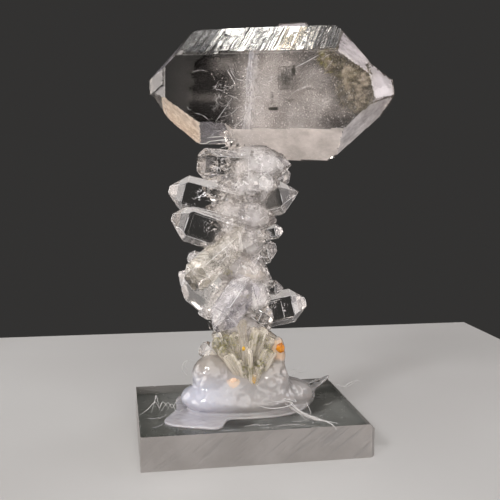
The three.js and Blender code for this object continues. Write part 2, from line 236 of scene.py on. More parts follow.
def makeSpotGroup():       # a soft round patch of stain about one point
    group, given, out = newGroup("softPatch", {"Middle": None, "Radius": 0.001, "Ragged": 0.3}, ["Mask"])
    coords = objectCoords(group)
    apart = vectorNode(group, "DISTANCE", coords, given.outputs["Middle"], "Value")
    share = mathNode(group, "DIVIDE", apart, given.outputs["Radius"])
    grain = noiseNode(group, coords, 1400, 4, 0.65)
    wander = mathNode(group, "MULTIPLY", mathNode(group, "SUBTRACT", grain, 0.5), given.outputs["Ragged"])
    edge = mathNode(group, "ADD", share, mathNode(group, "MULTIPLY", wander, 4.0))
    group.links.new(rampNode(group, edge, 0.75, 1.05, flip=True), out.inputs["Mask"])
    return group


def makeStriaGroup():      # fine lines across a crystal's length and streaks along it, from its own axis
    group, given, out = newGroup("growthLines", {"Spacing": 2500.0, "Patchiness": 0.5},
                                 ["Height", "Lines", "Streaks"])
    coords = objectCoords(group)
    axis = attributeNode(group, "crystalAxis", "Vector")
    strength = attributeNode(group, "striation")
    along = vectorNode(group, "DOT_PRODUCT", coords, axis, "Value")
    spaced = mathNode(group, "MULTIPLY", along, given.outputs["Spacing"])
    lines = noiseNode(group, spaced, 1.0, 5.0, 0.72, "1D")
    patches = patchNode(group, coords, 260, 3, 0.55, 0.36, 0.62)
    kept = mathNode(group, "MULTIPLY_ADD", patches, given.outputs["Patchiness"], 0.5)
    drawn = mathNode(group, "MULTIPLY", mathNode(group, "MULTIPLY", lines, kept), strength)
    back = vectorNode(group, "SCALE", axis, mathNode(group, "MULTIPLY", along, -0.93))
    squeezed = vectorNode(group, "ADD", coords, back)
    streaks = noiseNode(group, squeezed, 1500, 4, 0.62)
    for label, value in (("Height", drawn), ("Lines", lines), ("Streaks", streaks)):
        group.links.new(value, out.inputs[label])
    return group


def makeCrackleGroup():    # broken curling lines, as fine cracks catch the light
    group, given, out = newGroup("crackle", {"Size": 600.0}, ["Lines"])
    coords = objectCoords(group)
    field = noiseNode(group, coords, given.outputs["Size"], 2.5, 0.55)
    ridge = mathNode(group, "ABSOLUTE", mathNode(group, "SUBTRACT", field, 0.5))
    patches = patchNode(group, coords, 330, 2, 0.5, 0.44, 0.60)
    lines = mathNode(group, "MULTIPLY", rampNode(group, ridge, 0.006, 0.02, flip=True), patches)
    group.links.new(lines, out.inputs["Lines"])
    return group


def makeSmudgeGroup():     # handling marks and dust that only show in the gloss
    group, given, out = newGroup("handlingMarks", {"Least": 0.02, "Most": 0.12, "Size": 300.0},
                                 ["Roughness", "Mask"])
    mask = patchNode(group, objectCoords(group), given.outputs["Size"], 6, 0.68, 0.42, 0.68)
    spread = mathNode(group, "SUBTRACT", given.outputs["Most"], given.outputs["Least"])
    rough = mathNode(group, "MULTIPLY_ADD", mask, spread, given.outputs["Least"])
    group.links.new(rough, out.inputs["Roughness"])
    group.links.new(mask, out.inputs["Mask"])
    return group


groups = {"patch": makeSpotGroup(), "stria": makeStriaGroup(), "smudge": makeSmudgeGroup(),
          "crackle": makeCrackleGroup()}


def placeGroup(tree, key, **values):
    node = tree.nodes.new("ShaderNodeGroup")
    node.node_tree = groups[key]
    for label, value in values.items():
        node.inputs[label].default_value = value
    return node


def newMaterial(name):
    material = bpy.data.materials.new(name)
    material.use_nodes = True
    tree = material.node_tree
    return material, tree, shaderOf(material), objectCoords(tree)


def shaderOf(material):
    return material.node_tree.nodes["Principled BSDF"]


def feed(shader, label, value):
    shader.id_data.links.new(value, shader.inputs[label])


def setPlain(shader, values):
    for label, value in values.items():
        shader.inputs[label].default_value = value


def feedAlpha(tree, shader, cover, share=1.0):      # the film's own cover, thinned where its mesh says so
    thinned = mathNode(tree, "MULTIPLY", cover, attributeNode(tree, "veil"))
    feed(shader, "Alpha", thinned if share == 1.0 else mathNode(tree, "MULTIPLY", thinned, share))


def feedSmudges(tree, shader, least, most, size):
    smudges = placeGroup(tree, "smudge", Least=least, Most=most, Size=size)
    feed(shader, "Roughness", smudges.outputs["Roughness"])


def bumpInto(tree, shader, height, distance, strength):
    bump = tree.nodes.new("ShaderNodeBump")
    bump.inputs["Distance"].default_value = distance
    bump.inputs["Strength"].default_value = strength
    tree.links.new(height, bump.inputs["Height"])
    feed(shader, "Normal", bump.outputs[0])


def lampsPassThrough(tree, shader, tint):      # lets the softboxes light what lies inside the clear piece
    clear = tree.nodes.new("ShaderNodeBsdfTransparent")
    clear.inputs["Color"].default_value = (*tint, 1)
    mix = tree.nodes.new("ShaderNodeMixShader")
    shadowRay = tree.nodes.new("ShaderNodeLightPath").outputs["Is Shadow Ray"]
    for index, given in enumerate((shadowRay, shader.outputs[0], clear.outputs[0])):
        tree.links.new(given, mix.inputs[index])
    tree.links.new(mix.outputs[0], tree.nodes["Material Output"].inputs["Surface"])


def absorbInside(tree, colour, density):
    volume = tree.nodes.new("ShaderNodeVolumeAbsorption")
    volume.inputs["Color"].default_value = (*colour, 1)
    volume.inputs["Density"].default_value = density
    tree.links.new(volume.outputs[0], tree.nodes["Material Output"].inputs["Volume"])


def floorFinish():
    material, tree, shader, place = newMaterial("paleFloorFinish")
    grain = noiseNode(tree, place, 900, 5, 0.6)
    patches = patchNode(tree, place, 14, 2, 0.5, 0.3, 0.7)
    tone = mixColour(tree, patches, (0.50, 0.49, 0.48), (0.54, 0.535, 0.525))
    feed(shader, "Base Color", tone)
    setPlain(shader, {"Roughness": 0.55})
    bumpInto(tree, shader, grain, 0.00004, 0.3)
    return material


def quartzFinish():
    material, tree, shader, place = newMaterial("clearQuartz")
    stria = placeGroup(tree, "stria", Spacing=2300.0, Patchiness=0.7)
    feedSmudges(tree, shader, 0.004, 0.05, 420.0)
    hillocks = noiseNode(tree, place, 520, 3, 0.5)
    height = mathNode(tree, "MULTIPLY_ADD", hillocks, 0.16, stria.outputs["Height"])
    bumpInto(tree, shader, height, 0.00009, 0.55)
    streaks = rampNode(tree, stria.outputs["Lines"], 0.46, 0.62)
    stained = mathNode(tree, "MULTIPLY", streaks, attributeNode(tree, "ironFilm"))
    feed(shader, "Base Color", mixColour(tree, stained, (1.0, 0.995, 0.985), (0.93, 0.78, 0.52)))
    setPlain(shader, {"IOR": 1.544, "Transmission Weight": 1.0})
    lampsPassThrough(tree, shader, (0.93, 0.925, 0.92))
    absorbInside(tree, (0.95, 0.93, 0.91), 180)
    return material


def milkFinish(name, light, dark, roughness=0.55):
    material, tree, shader, place = newMaterial(name)
    blotch = patchNode(tree, place, 380, 4, 0.6, 0.34, 0.66)
    feed(shader, "Base Color", mixColour(tree, blotch, dark, light))
    setPlain(shader, {"Roughness": roughness})
    bumpInto(tree, shader, noiseNode(tree, place, 2600, 4, 0.6), 0.00008, 0.5)
    return material


placeCamera(viewer)
lightStudio()
layFloor()
print("stage: camera, lights and floor")

# Quartz crystals, as flat faces round a long axis

tipAngle = math.radians(51.79)     # quartz: from the long axis to a tip face's normal
chiselShare = 1.817                # ridge length for each mm that the broad tip faces are set back
sideShare = math.sqrt(3) / 4
sides = [180, 120, 60, 0, 300, 240]        # front, front top, back top, back, back low, front low
broadSides = (180, 0)

crystalLook = {       # softened edges (mm), and how the low growth plates vary
    "softEdge": 0.035, "headEdge": 0.05, "plateEdge": 0.015, "endLining": 0.12,
    "plateHigh": (0.05, 0.13), "plateInset": (0.12, 0.5), "plateBack": (0.4, 2.2), "plateEnd": (0.5, 0.95),
}


def sideNormal(side):
    return np.array([0.0, math.cos(math.radians(side)), math.sin(math.radians(side))])


def tipNormal(side, end):
    normal = sideNormal(side) * math.sin(tipAngle)
    normal[0] = end * math.cos(tipAngle)
    return normal


def tipPlanes(part, grow=0.0):
    return [(tipNormal(side, end), reach * math.cos(tipAngle) + grow)
            for end, key in ((1, "right"), (-1, "left")) for side, reach in zip(sides, part[key])]


def ownPlanes(planes, grow=0.0):
    return [(unit(np.array(normal)), distance + grow) for normal, distance in planes]


def planesOf(faces):
    normals, distances = zip(*faces)
    return np.array(normals), np.array(distances)


def placement(at, bearing, rise, roll=0.0):
    turned = Matrix.Rotation(math.radians(bearing), 4, "Z")
    lifted = Matrix.Rotation(-math.radians(rise), 4, "Y")
    spun = Matrix.Rotation(math.radians(roll), 4, "X")
    return Matrix.Translation(at) @ turned @ lifted @ spun


def cornersOf(normals, distances):
    triples = np.array(list(itertools.combinations(range(len(distances)), 3)))
    matrices = normals[triples]
    sound = np.abs(np.linalg.det(matrices)) > 1e-4
    triples = triples[sound]
    points = np.linalg.solve(matrices[sound], distances[triples][..., None])[..., 0]
    inside = (points @ normals.T <= distances + 1e-6).all(axis=1)
    kept = []
    for point in points[inside]:
        if all(np.abs(point - other).max() > 4e-4 for other in kept):
            kept.append(point)
    return np.array(kept)


def softened(normals, distances, depth):       # one narrow flat along every edge
    corners = cornersOf(normals, distances)
    onFace = np.abs(corners @ normals.T - distances) < 1e-3
    extraNormals, extraDistances = [], []
    for first, second in itertools.combinations(range(len(distances)), 2):
        shared = corners[onFace[:, first] & onFace[:, second]]
        if len(shared) < 2 or np.ptp(shared, axis=0).max() < 0.05:
            continue
        total = normals[first] + normals[second]
        size = np.linalg.norm(total)
        extraNormals.append(total / size)
        extraDistances.append((distances[first] + distances[second]) / size - depth)
    if not extraNormals:
        return normals, distances
    return np.vstack([normals, extraNormals]), np.append(distances, extraDistances)


faceBook = []      # every true crystal face, for finding again once the crystals are one skin


def crystalMesh(faces, matrix, depth, striation, film):
    normals, distances = planesOf(faces)
    turned = np.array(matrix.to_3x3())
    origin = np.array(matrix.translation)
    axis = turned @ np.array([1.0, 0, 0])
    for normal, distance in zip(normals, distances):
        worldNormal = turned @ normal
        isSide = abs(normal[0]) < 0.2
        lined = striation * (1.0 if isSide else crystalLook["endLining"])
        faceBook.append((worldNormal, distance + worldNormal @ origin, axis, lined, film if isSide else 0.0))
    corners = cornersOf(*softened(normals, distances, depth))
    builder = bmesh.new()
    for corner in corners:
        builder.verts.new((turned @ corner + origin) * mm)
    hull = bmesh.ops.convex_hull(builder, input=builder.verts[:])
    inner = [item for item in hull["geom_interior"] if isinstance(item, bmesh.types.BMVert)]
    bmesh.ops.delete(builder, geom=inner, context="VERTS")
    bmesh.ops.recalc_face_normals(builder, faces=builder.faces[:])
    return meshFrom(builder, "crystal")


def unite(meshes):
    while len(meshes) > 1:
        pairs = [meshes[index:index + 2] for index in range(0, len(meshes), 2)]
        meshes = [pair[0] if len(pair) == 1 else joinPair(*pair, "UNION") for pair in pairs]
    return meshes[0]


def joinPair(first, second, operation):
    base, other = newObject("joinBase", first), newObject("joinOther", second)
    modifier = base.modifiers.new("join", "BOOLEAN")
    modifier.operation = operation
    modifier.solver = "MANIFOLD"
    modifier.object = other
    graph = bpy.context.evaluated_depsgraph_get()
    joined = bpy.data.meshes.new_from_object(base.evaluated_get(graph))
    bpy.data.objects.remove(base)
    bpy.data.objects.remove(other)
    return joined


def outerSkin(mesh):       # drops crumbs and any pocket sealed inside
    builder = bmesh.new()
    builder.from_mesh(mesh)
    unseen = set(builder.faces)
    parts = []
    while unseen:
        part, edge = set(), [unseen.pop()]
        while edge:
            face = edge.pop()
            part.add(face)
            for side in face.edges:
                for neighbour in side.link_faces:
                    if neighbour in unseen:
                        unseen.discard(neighbour)
                        edge.append(neighbour)
        parts.append(part)
    biggest = max(parts, key=len)
    loose = [face for part in parts if part is not biggest for face in part]
    bmesh.ops.delete(builder, geom=loose, context="FACES")
    builder.to_mesh(mesh)
    builder.free()
    return mesh


headPlace = {"middle": (3.4, 0, 64.4), "bearing": -24}
headMatrix = placement(headPlace["middle"], headPlace["bearing"], 0)
headTurn = np.array(headMatrix.to_3x3())
headMiddle = np.array(headPlace["middle"], float)
lowFacet = ((-0.475, -0.540, -0.694), 13.30)      # planes of their own: normal, distance
rimFacet = ((-0.640, -0.508, -0.577), 15.76)
upperRight = ((0.523, -0.427, 0.738), 12.80)
backRight = ((0.796, 0.264, 0.545), 15.27)
pearlFacet = ((0.696, -0.698, 0.170), 17.05)
headParts = [
    # the main plate, from tip to tip
    {"sides": [6, 7.1, 9.7, 6.6, 9.3, 9.0], "right": [27.4, 24.5, 26, 18.6, 23.3, 26.6],
     "left": [25.0, 24.2, 27, 17.8, 24.9, 30],
     "also": [lowFacet, rimFacet, upperRight, backRight, pearlFacet]},
    # the upper of the two left tips
    {"sides": [5.8, 6.6, 9.0, 6.0, 2.2, 3.2], "right": [10] * 6,
     "left": [25.3, 24.3, 25.3, 17.0, 26, 26], "also": []},
    # the lower left tip, set back
    {"sides": [3.6, 1.6, 4.0, 6.2, 9.3, 9.0], "right": [4] * 6,
     "left": [23.6, 21.0, 21.3, 17.6, 25.1, 30], "also": [lowFacet, rimFacet]},
    # the right tip, with its own small facets
    {"sides": [5.97, 7.05, 9.6, 6.2, 8.6, 8.4], "right": [30, 30, 30, 18.5, 23.6, 26.65], "left": [8] * 6,
     "also": [(pearlFacet[0], 17.07), ((0.450, 0.216, 0.866), 9.30), ((0.896, 0.403, 0.188), 18.98),
              ((-0.946, -0.291, -0.144), -15.73)]},
    # the deeper belly on the right
    {"sides": [5.95, 5.4, 8.6, 6.3, 11.6, 13.5], "right": [26.0, 20.6, 20.4, 18.6, 25.5, 26.75],
     "left": [18, 10, 10, 16, 19, 18], "also": [((0, -0.663, -0.748), 9.96)]},
    # the raised slab along the top
    {"sides": [5.8, 7.3, 11.0, 6.2, 6, 6], "right": [19, 19.6, 22.8, 18, 14, 14],
     "left": [18, 19.6, 24.4, 17, 14, 14], "also": []},
    # the highest ledge
    {"sides": [-4.4, 7.6, 12.0, 6.0, 4, 4], "right": [18, 15.3, 21, 18, 14, 14],
     "left": [9, 8.8, 14.5, 12, 8, 8], "also": []},
]

sideCrystals = [       # tip (mm), bearing, rise, wide, thick, length, ridge
    ((-9.7, -3, 50.5), -165, 4, 5.6, 4.5, 9, 2.6),
    ((-14.4, -1, 46.0), 178, 14, 6.4, 3.8, 13, 1.0),
    ((-14.1, -2.5, 41.2), -177, 19, 6.8, 4, 13, 1.2),
    ((-11.1, -1, 34.1), 178, 20, 2.8, 2, 8, 1),
    ((-11.0, 1, 31.6), 161, -7, 2, 1.6, 8, 0.3),
    ((-12.5, 3, 30.5), 148, 30, 7.4, 4, 12, 0.2),
    ((-11.5, -5, 29.7), -159, -36, 5.8, 5, 14, 2.5),
    ((-6.9, -5.5, 21.4), -151, -47, 6.2, 4.5, 11, 1),
    ((-9.4, -2, 23.9), -179, -9, 3, 2.4, 8, 0.5),
    ((-6.8, -3, 21.2), 175, -35, 1.8, 1.6, 5, 0.3),
    ((8.6, -2, 45.6), -24, 14, 7, 4.2, 13, 0.2),
    ((3.4, -4.5, 47.7), -40, 21, 3.4, 3, 8, 1.3),
    ((6.3, -1, 48.1), -20, 2, 2.2, 2, 8, 0.2),
    ((8.2, 3, 47.8), 4, -11, 4.6, 3, 9, 1.8),
    ((6.2, -0.5, 38.5), -14, 11, 2.8, 2.2, 8, 0.8),
    ((5.6, 2, 35.1), 2, 14, 5, 3.4, 9, 1.5),
    ((4.5, 2, 29.1), -10, 0, 1.6, 1.4, 6, 0.3),
    ((6.2, -1.5, 28.0), -15, -2, 2.8, 2.4, 9, 0.3),
    ((10.9, 0, 25.0), -17, 14, 6.4, 4, 13, 1.4),
    ((3.5, -5, 22.7), -42, -26, 3.8, 3, 9, 1.0),
    ((-9.0, -1, 17.5), -177, 26, 3, 2.6, 6, 1.8),
]

coreCrystals = [       # middle (mm), bearing, rise, wide, thick, length
    ((0.8, 0, 50.0), -20, 4, 9, 8, 13),
    ((-0.6, -0.4, 46.4), -28, 8, 8, 7.6, 12),
    ((-1.4, 0.2, 41.4), -14, -10, 8, 7.4, 12),
    ((-1.6, -0.3, 36.4), -34, 9, 8, 7.6, 12.5),
    ((-1.2, 0, 31.2), -18, -24, 8.6, 7.6, 12.5),
    ((-1.8, 0.4, 26.2), -30, 16, 7.4, 7, 11),
    ((-1.0, 0.2, 21.6), -12, -8, 7, 6.4, 10),
    ((-0.6, 0.2, 17.0), -26, 6, 6.6, 6, 9),
    ((0.2, -1.6, 27.6), -34, -73, 6.6, 5, 12),
]

sprayRoot = (-0.5, -1.6, 11.4)
sprayBlades = [        # tip (mm), wide, thick
    ((-8.2, -1.6, 16.6), 2.6, 1.5),
    ((-6.7, -3, 19.4), 2.6, 1.3),
    ((-5.9, -4, 18.0), 2.2, 1.2),
    ((-4.9, -3, 20.2), 2.4, 1.3),
    ((-3.4, -3.4, 20.6), 2.2, 1.2),
    ((-1.7, -3, 23.0), 2.4, 1.6),
    ((0.7, -4, 21.5), 2.0, 1.3),
    ((2.5, -3, 21.2), 2.6, 1.3),
    ((3.9, -3, 19.4), 2.4, 1.4),
    ((5.4, -2.2, 17.2), 2.6, 1.4),
    ((-5.6, 3.4, 19.6), 2.8, 1.5),
    ((-2.2, 4.8, 20.8), 2.6, 1.4),
    ((1.8, 4.4, 20.0), 2.8, 1.5),
    ((5.0, 2.8, 18.4), 2.4, 1.4),
]

backCrystals = {
    "count": 13, "axisX": -1, "lowest": 17.5, "highest": 49, "straightBack": 82,
    "fan": (25, 66), "out": (6.2, 9.6), "wide": (3.2, 6.4), "rise": (-14, 20), "roll": (-10, 10),
    "thickness": 0.66, "ridge": 0.8,
}
unevenPointed, unevenDouble = 0.1, 0.16
frontRoot = (-0.3, -4.4, 9.8)
frontBlades = [        # small ones that stand out of the front of the glue: tip (mm), wide, thick
    ((-4.7, -4.6, 17.0), 2.5, 0.8), ((-2.6, -5.0, 16.0), 1.6, 0.9), ((-0.9, -5.4, 18.4), 2.6, 0.9),
    ((1.3, -5.6, 15.8), 2.4, 0.8), ((3.2, -4.9, 17.6), 2.8, 0.9), ((4.6, -4.2, 16.8), 1.7, 0.8),
    ((0.2, -6.1, 13.8), 1.3, 0.7),
]
bladeRidge = 0.4                   # of a blade's width
bladeRoll = {"spray": 25, "front": 32, "frontTurn": 7}      # degrees: whole range, each step, and all
seeds = {"placing": 41, "core": 100, "side": 200, "spray": 300, "back": 500, "front": 700}


class SameRandom:      # the solids' own chance numbers, so that both crystals match
    def __init__(self, seed):
        self.state = seed & 0xFFFFFFFF

    def draw(self):
        self.state = (self.state + 0x6D2B79F5) & 0xFFFFFFFF
        mixed = ((self.state ^ (self.state >> 15)) * (self.state | 1)) & 0xFFFFFFFF
        mixed ^= (mixed + ((mixed ^ (mixed >> 7)) * (mixed | 61) & 0xFFFFFFFF)) & 0xFFFFFFFF
        return ((mixed ^ (mixed >> 14)) & 0xFFFFFFFF) / 4294967296


def evenSides(wide, thick, uneven, chance):
    faces = []
    for side in sides:
        even = thick / 2 if side in broadSides else wide * sideShare
        faces.append((sideNormal(side), even * (1 + uneven * (chance.draw() - 0.5))))
    return faces


def pointedFaces(wide, thick, length, ridge, seed):
    chance = SameRandom(seed)
    faces = evenSides(wide, thick, unevenPointed, chance)
    for side in sides:
        reach = 0.0
        if side not in broadSides:
            reach = ridge / chiselShare + wide * unevenPointed * (chance.draw() - 0.3)
        faces.append((tipNormal(side, 1), reach * math.cos(tipAngle)))
    faces.append((np.array([-1.0, 0, 0]), length))
    return faces


def doubleFaces(wide, thick, length, seed):
    chance = SameRandom(seed)
    faces = evenSides(wide, thick, unevenDouble, chance)
    for end in (1, -1):
        for side in sides:
            reach = length / 2 + wide * unevenDouble * chance.draw()
            faces.append((tipNormal(side, end), reach * math.cos(tipAngle)))
    return faces


def growthPlates(faces, count, chance, length):    # low terraces left on a crystal's sides as it grew
    plates = []
    for _ in range(count):
        chosen = chance.randrange(6)
        height, inset, back = (chance.uniform(*crystalLook[key])
                               for key in ("plateHigh", "plateInset", "plateBack"))
        plate = []
        for index, (normal, distance) in enumerate(faces):
            if index < 6:
                distance += height if index == chosen else -inset
            elif normal[0] < -0.99:
                distance = length * chance.uniform(*crystalLook["plateEnd"])
            else:
                distance -= back * math.cos(tipAngle)
            plate.append((normal, distance))
        plates.append(plate)
    return plates


crystals = []      # every crystal: its planes, placement, lining, iron film, softened edge, kind and length


def keepCrystal(faces, matrix, striation, edge, film=0.0, kind="", length=10.0):
    crystals.append({"faces": faces, "matrix": matrix, "striation": striation, "edge": edge, "film": film,
                     "kind": kind, "length": length})


def addCrystal(faces, matrix, striation=0.15, plates=0, length=10.0, edge=crystalLook["softEdge"], kind=""):
    keepCrystal(faces, matrix, striation, edge, kind=kind, length=length)
    chance = random.Random(len(crystals) * 17 + 3)
    for plate in growthPlates(faces, plates, chance, length):
        keepCrystal(plate, matrix, striation, crystalLook["plateEdge"])


def ofKind(*kinds):
    return [crystal for crystal in crystals if crystal["kind"] in kinds]


# small crystals crowded between the big ones: height range (mm), count, outward reach, wide, tilt
crowd = [
    {"heights": (15.5, 22), "count": 46, "out": (3.2, 5.6), "wide": (0.7, 1.6), "rise": (38, 80)},
    {"heights": (22, 34), "count": 40, "out": (3.6, 5.0), "wide": (0.7, 1.9), "rise": (-30, 40)},
    {"heights": (34, 54), "count": 34, "out": (3.4, 4.8), "wide": (0.8, 2.2), "rise": (-25, 30)},
]
crowdLook = {
    "flatness": (0.55, 0.9), "ridge": 0.3, "root": 0.5, "turn": 25, "roll": 30, "oval": 0.86, "axisX": -1,
    "striation": 0.6, "edge": 0.02,
}


def gatherCrowd():
    chance = random.Random(83)
    look = crowdLook
    for spec in crowd:
        for _ in range(spec["count"]):
            bearing = chance.uniform(0, 360)
            out = chance.uniform(*spec["out"])
            turned = math.radians(bearing)
            height = chance.uniform(*spec["heights"])
            tip = (look["axisX"] + out * math.cos(turned), out * math.sin(turned) * look["oval"], height)
            wide = chance.uniform(*spec["wide"])
            rise = chance.uniform(*spec["rise"])
            faces = pointedFaces(wide, wide * chance.uniform(*look["flatness"]), out + look["root"],
                                 wide * look["ridge"], chance.randrange(9999))
            bearing += chance.uniform(-look["turn"], look["turn"])
            matrix = placement(tip, bearing, rise, chance.uniform(-look["roll"], look["roll"]))
            keepCrystal(faces, matrix, look["striation"], look["edge"])


def addBlades(blades, root, seed, edge, rollOf):
    for index, (tip, wide, thick) in enumerate(blades):
        along = Vector(tip) - Vector(root)
        faces = pointedFaces(wide, thick, along.length, wide * bladeRidge, seed + index)
        bearing, rise = math.atan2(along.y, along.x), math.asin(along.z / along.length)
        matrix = placement(tip, math.degrees(bearing), math.degrees(rise), rollOf(index))
        addCrystal(faces, matrix, striation=0.12, length=along.length, edge=edge, kind="blade")


def gatherCrystals():
    for part in headParts:
        faces = [(sideNormal(side), distance) for side, distance in zip(sides, part["sides"])]
        faces += tipPlanes(part) + ownPlanes(part["also"])
        addCrystal(faces, headMatrix, striation=0.1, edge=crystalLook["headEdge"])
    for index, (middle, bearing, rise, wide, thick, length) in enumerate(coreCrystals):
        addCrystal(doubleFaces(wide, thick, length, seeds["core"] + index),
                   placement(middle, bearing, rise), plates=5, length=length, kind="core")
    for index, (tip, bearing, rise, wide, thick, length, ridge) in enumerate(sideCrystals):
        addCrystal(pointedFaces(wide, thick, length, ridge, seeds["side"] + index),
                   placement(tip, bearing, rise), plates=3 if wide > 3 else 1, length=length, kind="side")
    addBlades(sprayBlades, sprayRoot, seeds["spray"], 0.05,
              lambda index: bladeRoll["spray"] * (SameRandom(seeds["spray"] + index).draw() - 0.5))
    addBlades(frontBlades, frontRoot, seeds["front"], 0.025,
              lambda index: bladeRoll["front"] * (index % 3 - 1) + bladeRoll["frontTurn"])
    gatherBack()
    gatherCrowd()


def gatherBack():
    spec = backCrystals
    chance = SameRandom(seeds["placing"])

    def pick(key):
        least, most = spec[key]
        return least + (most - least) * chance.draw()

    for index in range(spec["count"]):
        bearing = spec["straightBack"] + (1 if index % 2 else -1) * pick("fan")
        out = pick("out")
        height = spec["lowest"] + (spec["highest"] - spec["lowest"]) * index / (spec["count"] - 1)
        turned = math.radians(bearing)
        tip = (spec["axisX"] + out * math.cos(turned), out * math.sin(turned), height)
        wide, rise, roll = pick("wide"), pick("rise"), pick("roll")
        faces = pointedFaces(wide, wide * spec["thickness"], out + 1, spec["ridge"], seeds["back"] + index)
        addCrystal(faces, placement(tip, bearing, rise, roll), plates=2, length=out)


# Ribs and steps across the bright upper face of the head
topRibs = {
    "from": -16.0, "to": 15.6, "widths": (0.22, 1.5), "widthShare": (0.6, 1.3), "heights": (0.02, 0.16),
    "face": 120, "firstBase": 7.1, "base": 7.3, "tilt": 1.0, "overlap": (-0.35, 0.25), "alongMiddle": 2.0,
    "front": 5.9, "shortFront": 3.5, "shortShare": 0.3, "behind": (10.6, 6.0, 3, 3), "aboveTop": 0.4,
    "slope": (0.86, 0.51), "headroom": 0.12,
}
topBlocks = {       # small tilted steps scattered between the ribs
    "count": 90, "size": (0.25, 1.3), "deeper": 1.6, "before": 2.5, "across": (-2.4, 6.6),
    "heights": (0.0, 0.1),
    "lean": 0.035, "skew": 0.03, "slope": (0.9, 0.43), "thick": 0.9, "headroom": 0.08, "inside": 0.4,
}
alongAxis = np.array([1.0, 0, 0])
topNormal = sideNormal(topRibs["face"])
alongTop = np.cross(topNormal, alongAxis)


def headTips(grow):
    return tipPlanes(headParts[0], grow) + ownPlanes((upperRight, backRight), grow)


def gatherRibs():
    spec, chance = topRibs, random.Random(29)
    start = spec["from"]
    outward, upward = spec["slope"]
    while start < spec["to"]:
        end = start + chance.uniform(*spec["widths"]) * chance.uniform(*spec["widthShare"])
        base = spec["base"] if start > spec["from"] else spec["firstBase"]
        top = base + chance.uniform(*spec["heights"])
        lean = math.radians(chance.uniform(-1, 1) * spec["tilt"])
        skew = math.radians(chance.uniform(-1.0, 1.0))
        tilted = unit(topNormal * math.cos(lean) + alongAxis * math.sin(lean) + alongTop * math.sin(skew))
        middle = alongAxis * ((start + end) / 2) + topNormal * top + alongTop * spec["alongMiddle"]
        front = spec["front"]
        if chance.random() >= 1 - spec["shortShare"]:
            front = chance.uniform(spec["shortFront"], front)
        faces = [(tilted, float(tilted @ middle))]
        for side, distance in zip(sides, (front, top + spec["aboveTop"], *spec["behind"])):
            faces.append((sideNormal(side), distance))
        for way, limit in ((1, end), (-1, -start)):
            faces.append((unit(alongAxis * outward * way + upward * topNormal),
                          outward * limit + upward * base))
        keepCrystal(faces + headTips(spec["headroom"]), headMatrix, 1.4, 0.012, film=1.0)
        start = end - chance.uniform(*spec["overlap"])
    gatherBlocks(chance)


def gatherBlocks(chance):
    spec = topBlocks
    outward, upward = spec["slope"]
    for _ in range(spec["count"]):
        along = chance.uniform(topRibs["from"] - spec["before"], topRibs["to"])
        across = chance.uniform(*spec["across"])
        height = topRibs["base"] + chance.uniform(*spec["heights"])
        centre = alongAxis * along + topNormal * height + alongTop * across
        long, deep = chance.uniform(*spec["size"]), chance.uniform(*spec["size"]) * spec["deeper"]
        lean = alongAxis * chance.uniform(-spec["lean"], spec["lean"])
        lean = unit(topNormal + lean + alongTop * chance.uniform(-spec["skew"], spec["skew"]))
        faces = [(lean, float(lean @ centre)), (-topNormal, -(height - spec["thick"]))]
        for way in (1, -1):
            for direction, half in ((alongAxis, long / 2), (alongTop, deep / 2)):
                slope = unit(way * direction * outward + upward * topNormal)
                faces.append((slope, float(slope @ (centre + way * direction * half - topNormal * 0.05))))
        normals, limits = planesOf(headTips(-spec["inside"]))
        if (centre @ normals.T <= limits).all():
            keepCrystal(faces + headTips(spec["headroom"]), headMatrix, 1.2, 0.01, film=0.8)


def markFaces(mesh):       # gives each face back its crystal's axis, lining and film
    normals, distances, axes, lined, films = (np.array(values) for values in zip(*faceBook))
    count = len(mesh.polygons)
    faceNormals, centres = np.empty(count * 3), np.empty(count * 3)
    mesh.polygons.foreach_get("normal", faceNormals)
    mesh.polygons.foreach_get("center", centres)
    faceNormals, centres = faceNormals.reshape(-1, 3), centres.reshape(-1, 3) / mm
    off = np.abs(centres @ normals.T - distances) + 40 * (1 - faceNormals @ normals.T)
    best = off.argmin(axis=1)
    sound = off[np.arange(count), best] < 0.02
    addLayer(mesh, "crystalAxis", np.where(sound[:, None], axes[best], alongAxis), "FACE")
    addLayer(mesh, "striation", np.where(sound, lined[best], 0.0), "FACE")
    addLayer(mesh, "ironFilm", np.where(sound, films[best], 0.0), "FACE")
    return int(sound.sum()), count


sheen = {
    "lift": 0.012, "spread": 0.15, "goldSpread": (0.6, 1.1), "dullShare": 0.2, "brightSpread": (0.75, 1.0),
    "dullSpread": (0.25, 0.7),
    "zones": [      # along the upper face (mm, head frame): from, to, cover, how golden, how bright; the near-dark ends, and whatever lies outside the zones, are painted shade
        (-17.0, -11.2, 0.95, 0.0, 0.07), (-11.2, -10.1, 0.95, 0.0, 0.04), (-10.1, -9.3, 0.80, 0.1, 0.9),
        (-9.3, 1.6, 0.97, 0.12, 1.0), (1.6, 5.9, 0.94, 0.9, 0.95), (5.9, 8.5, 0.97, 0.4, 1.0),
        (8.5, 14.0, 0.97, 0.2, 0.04),
    ],
    "elsewhere": (0.7, 0.0, 0.05),
}


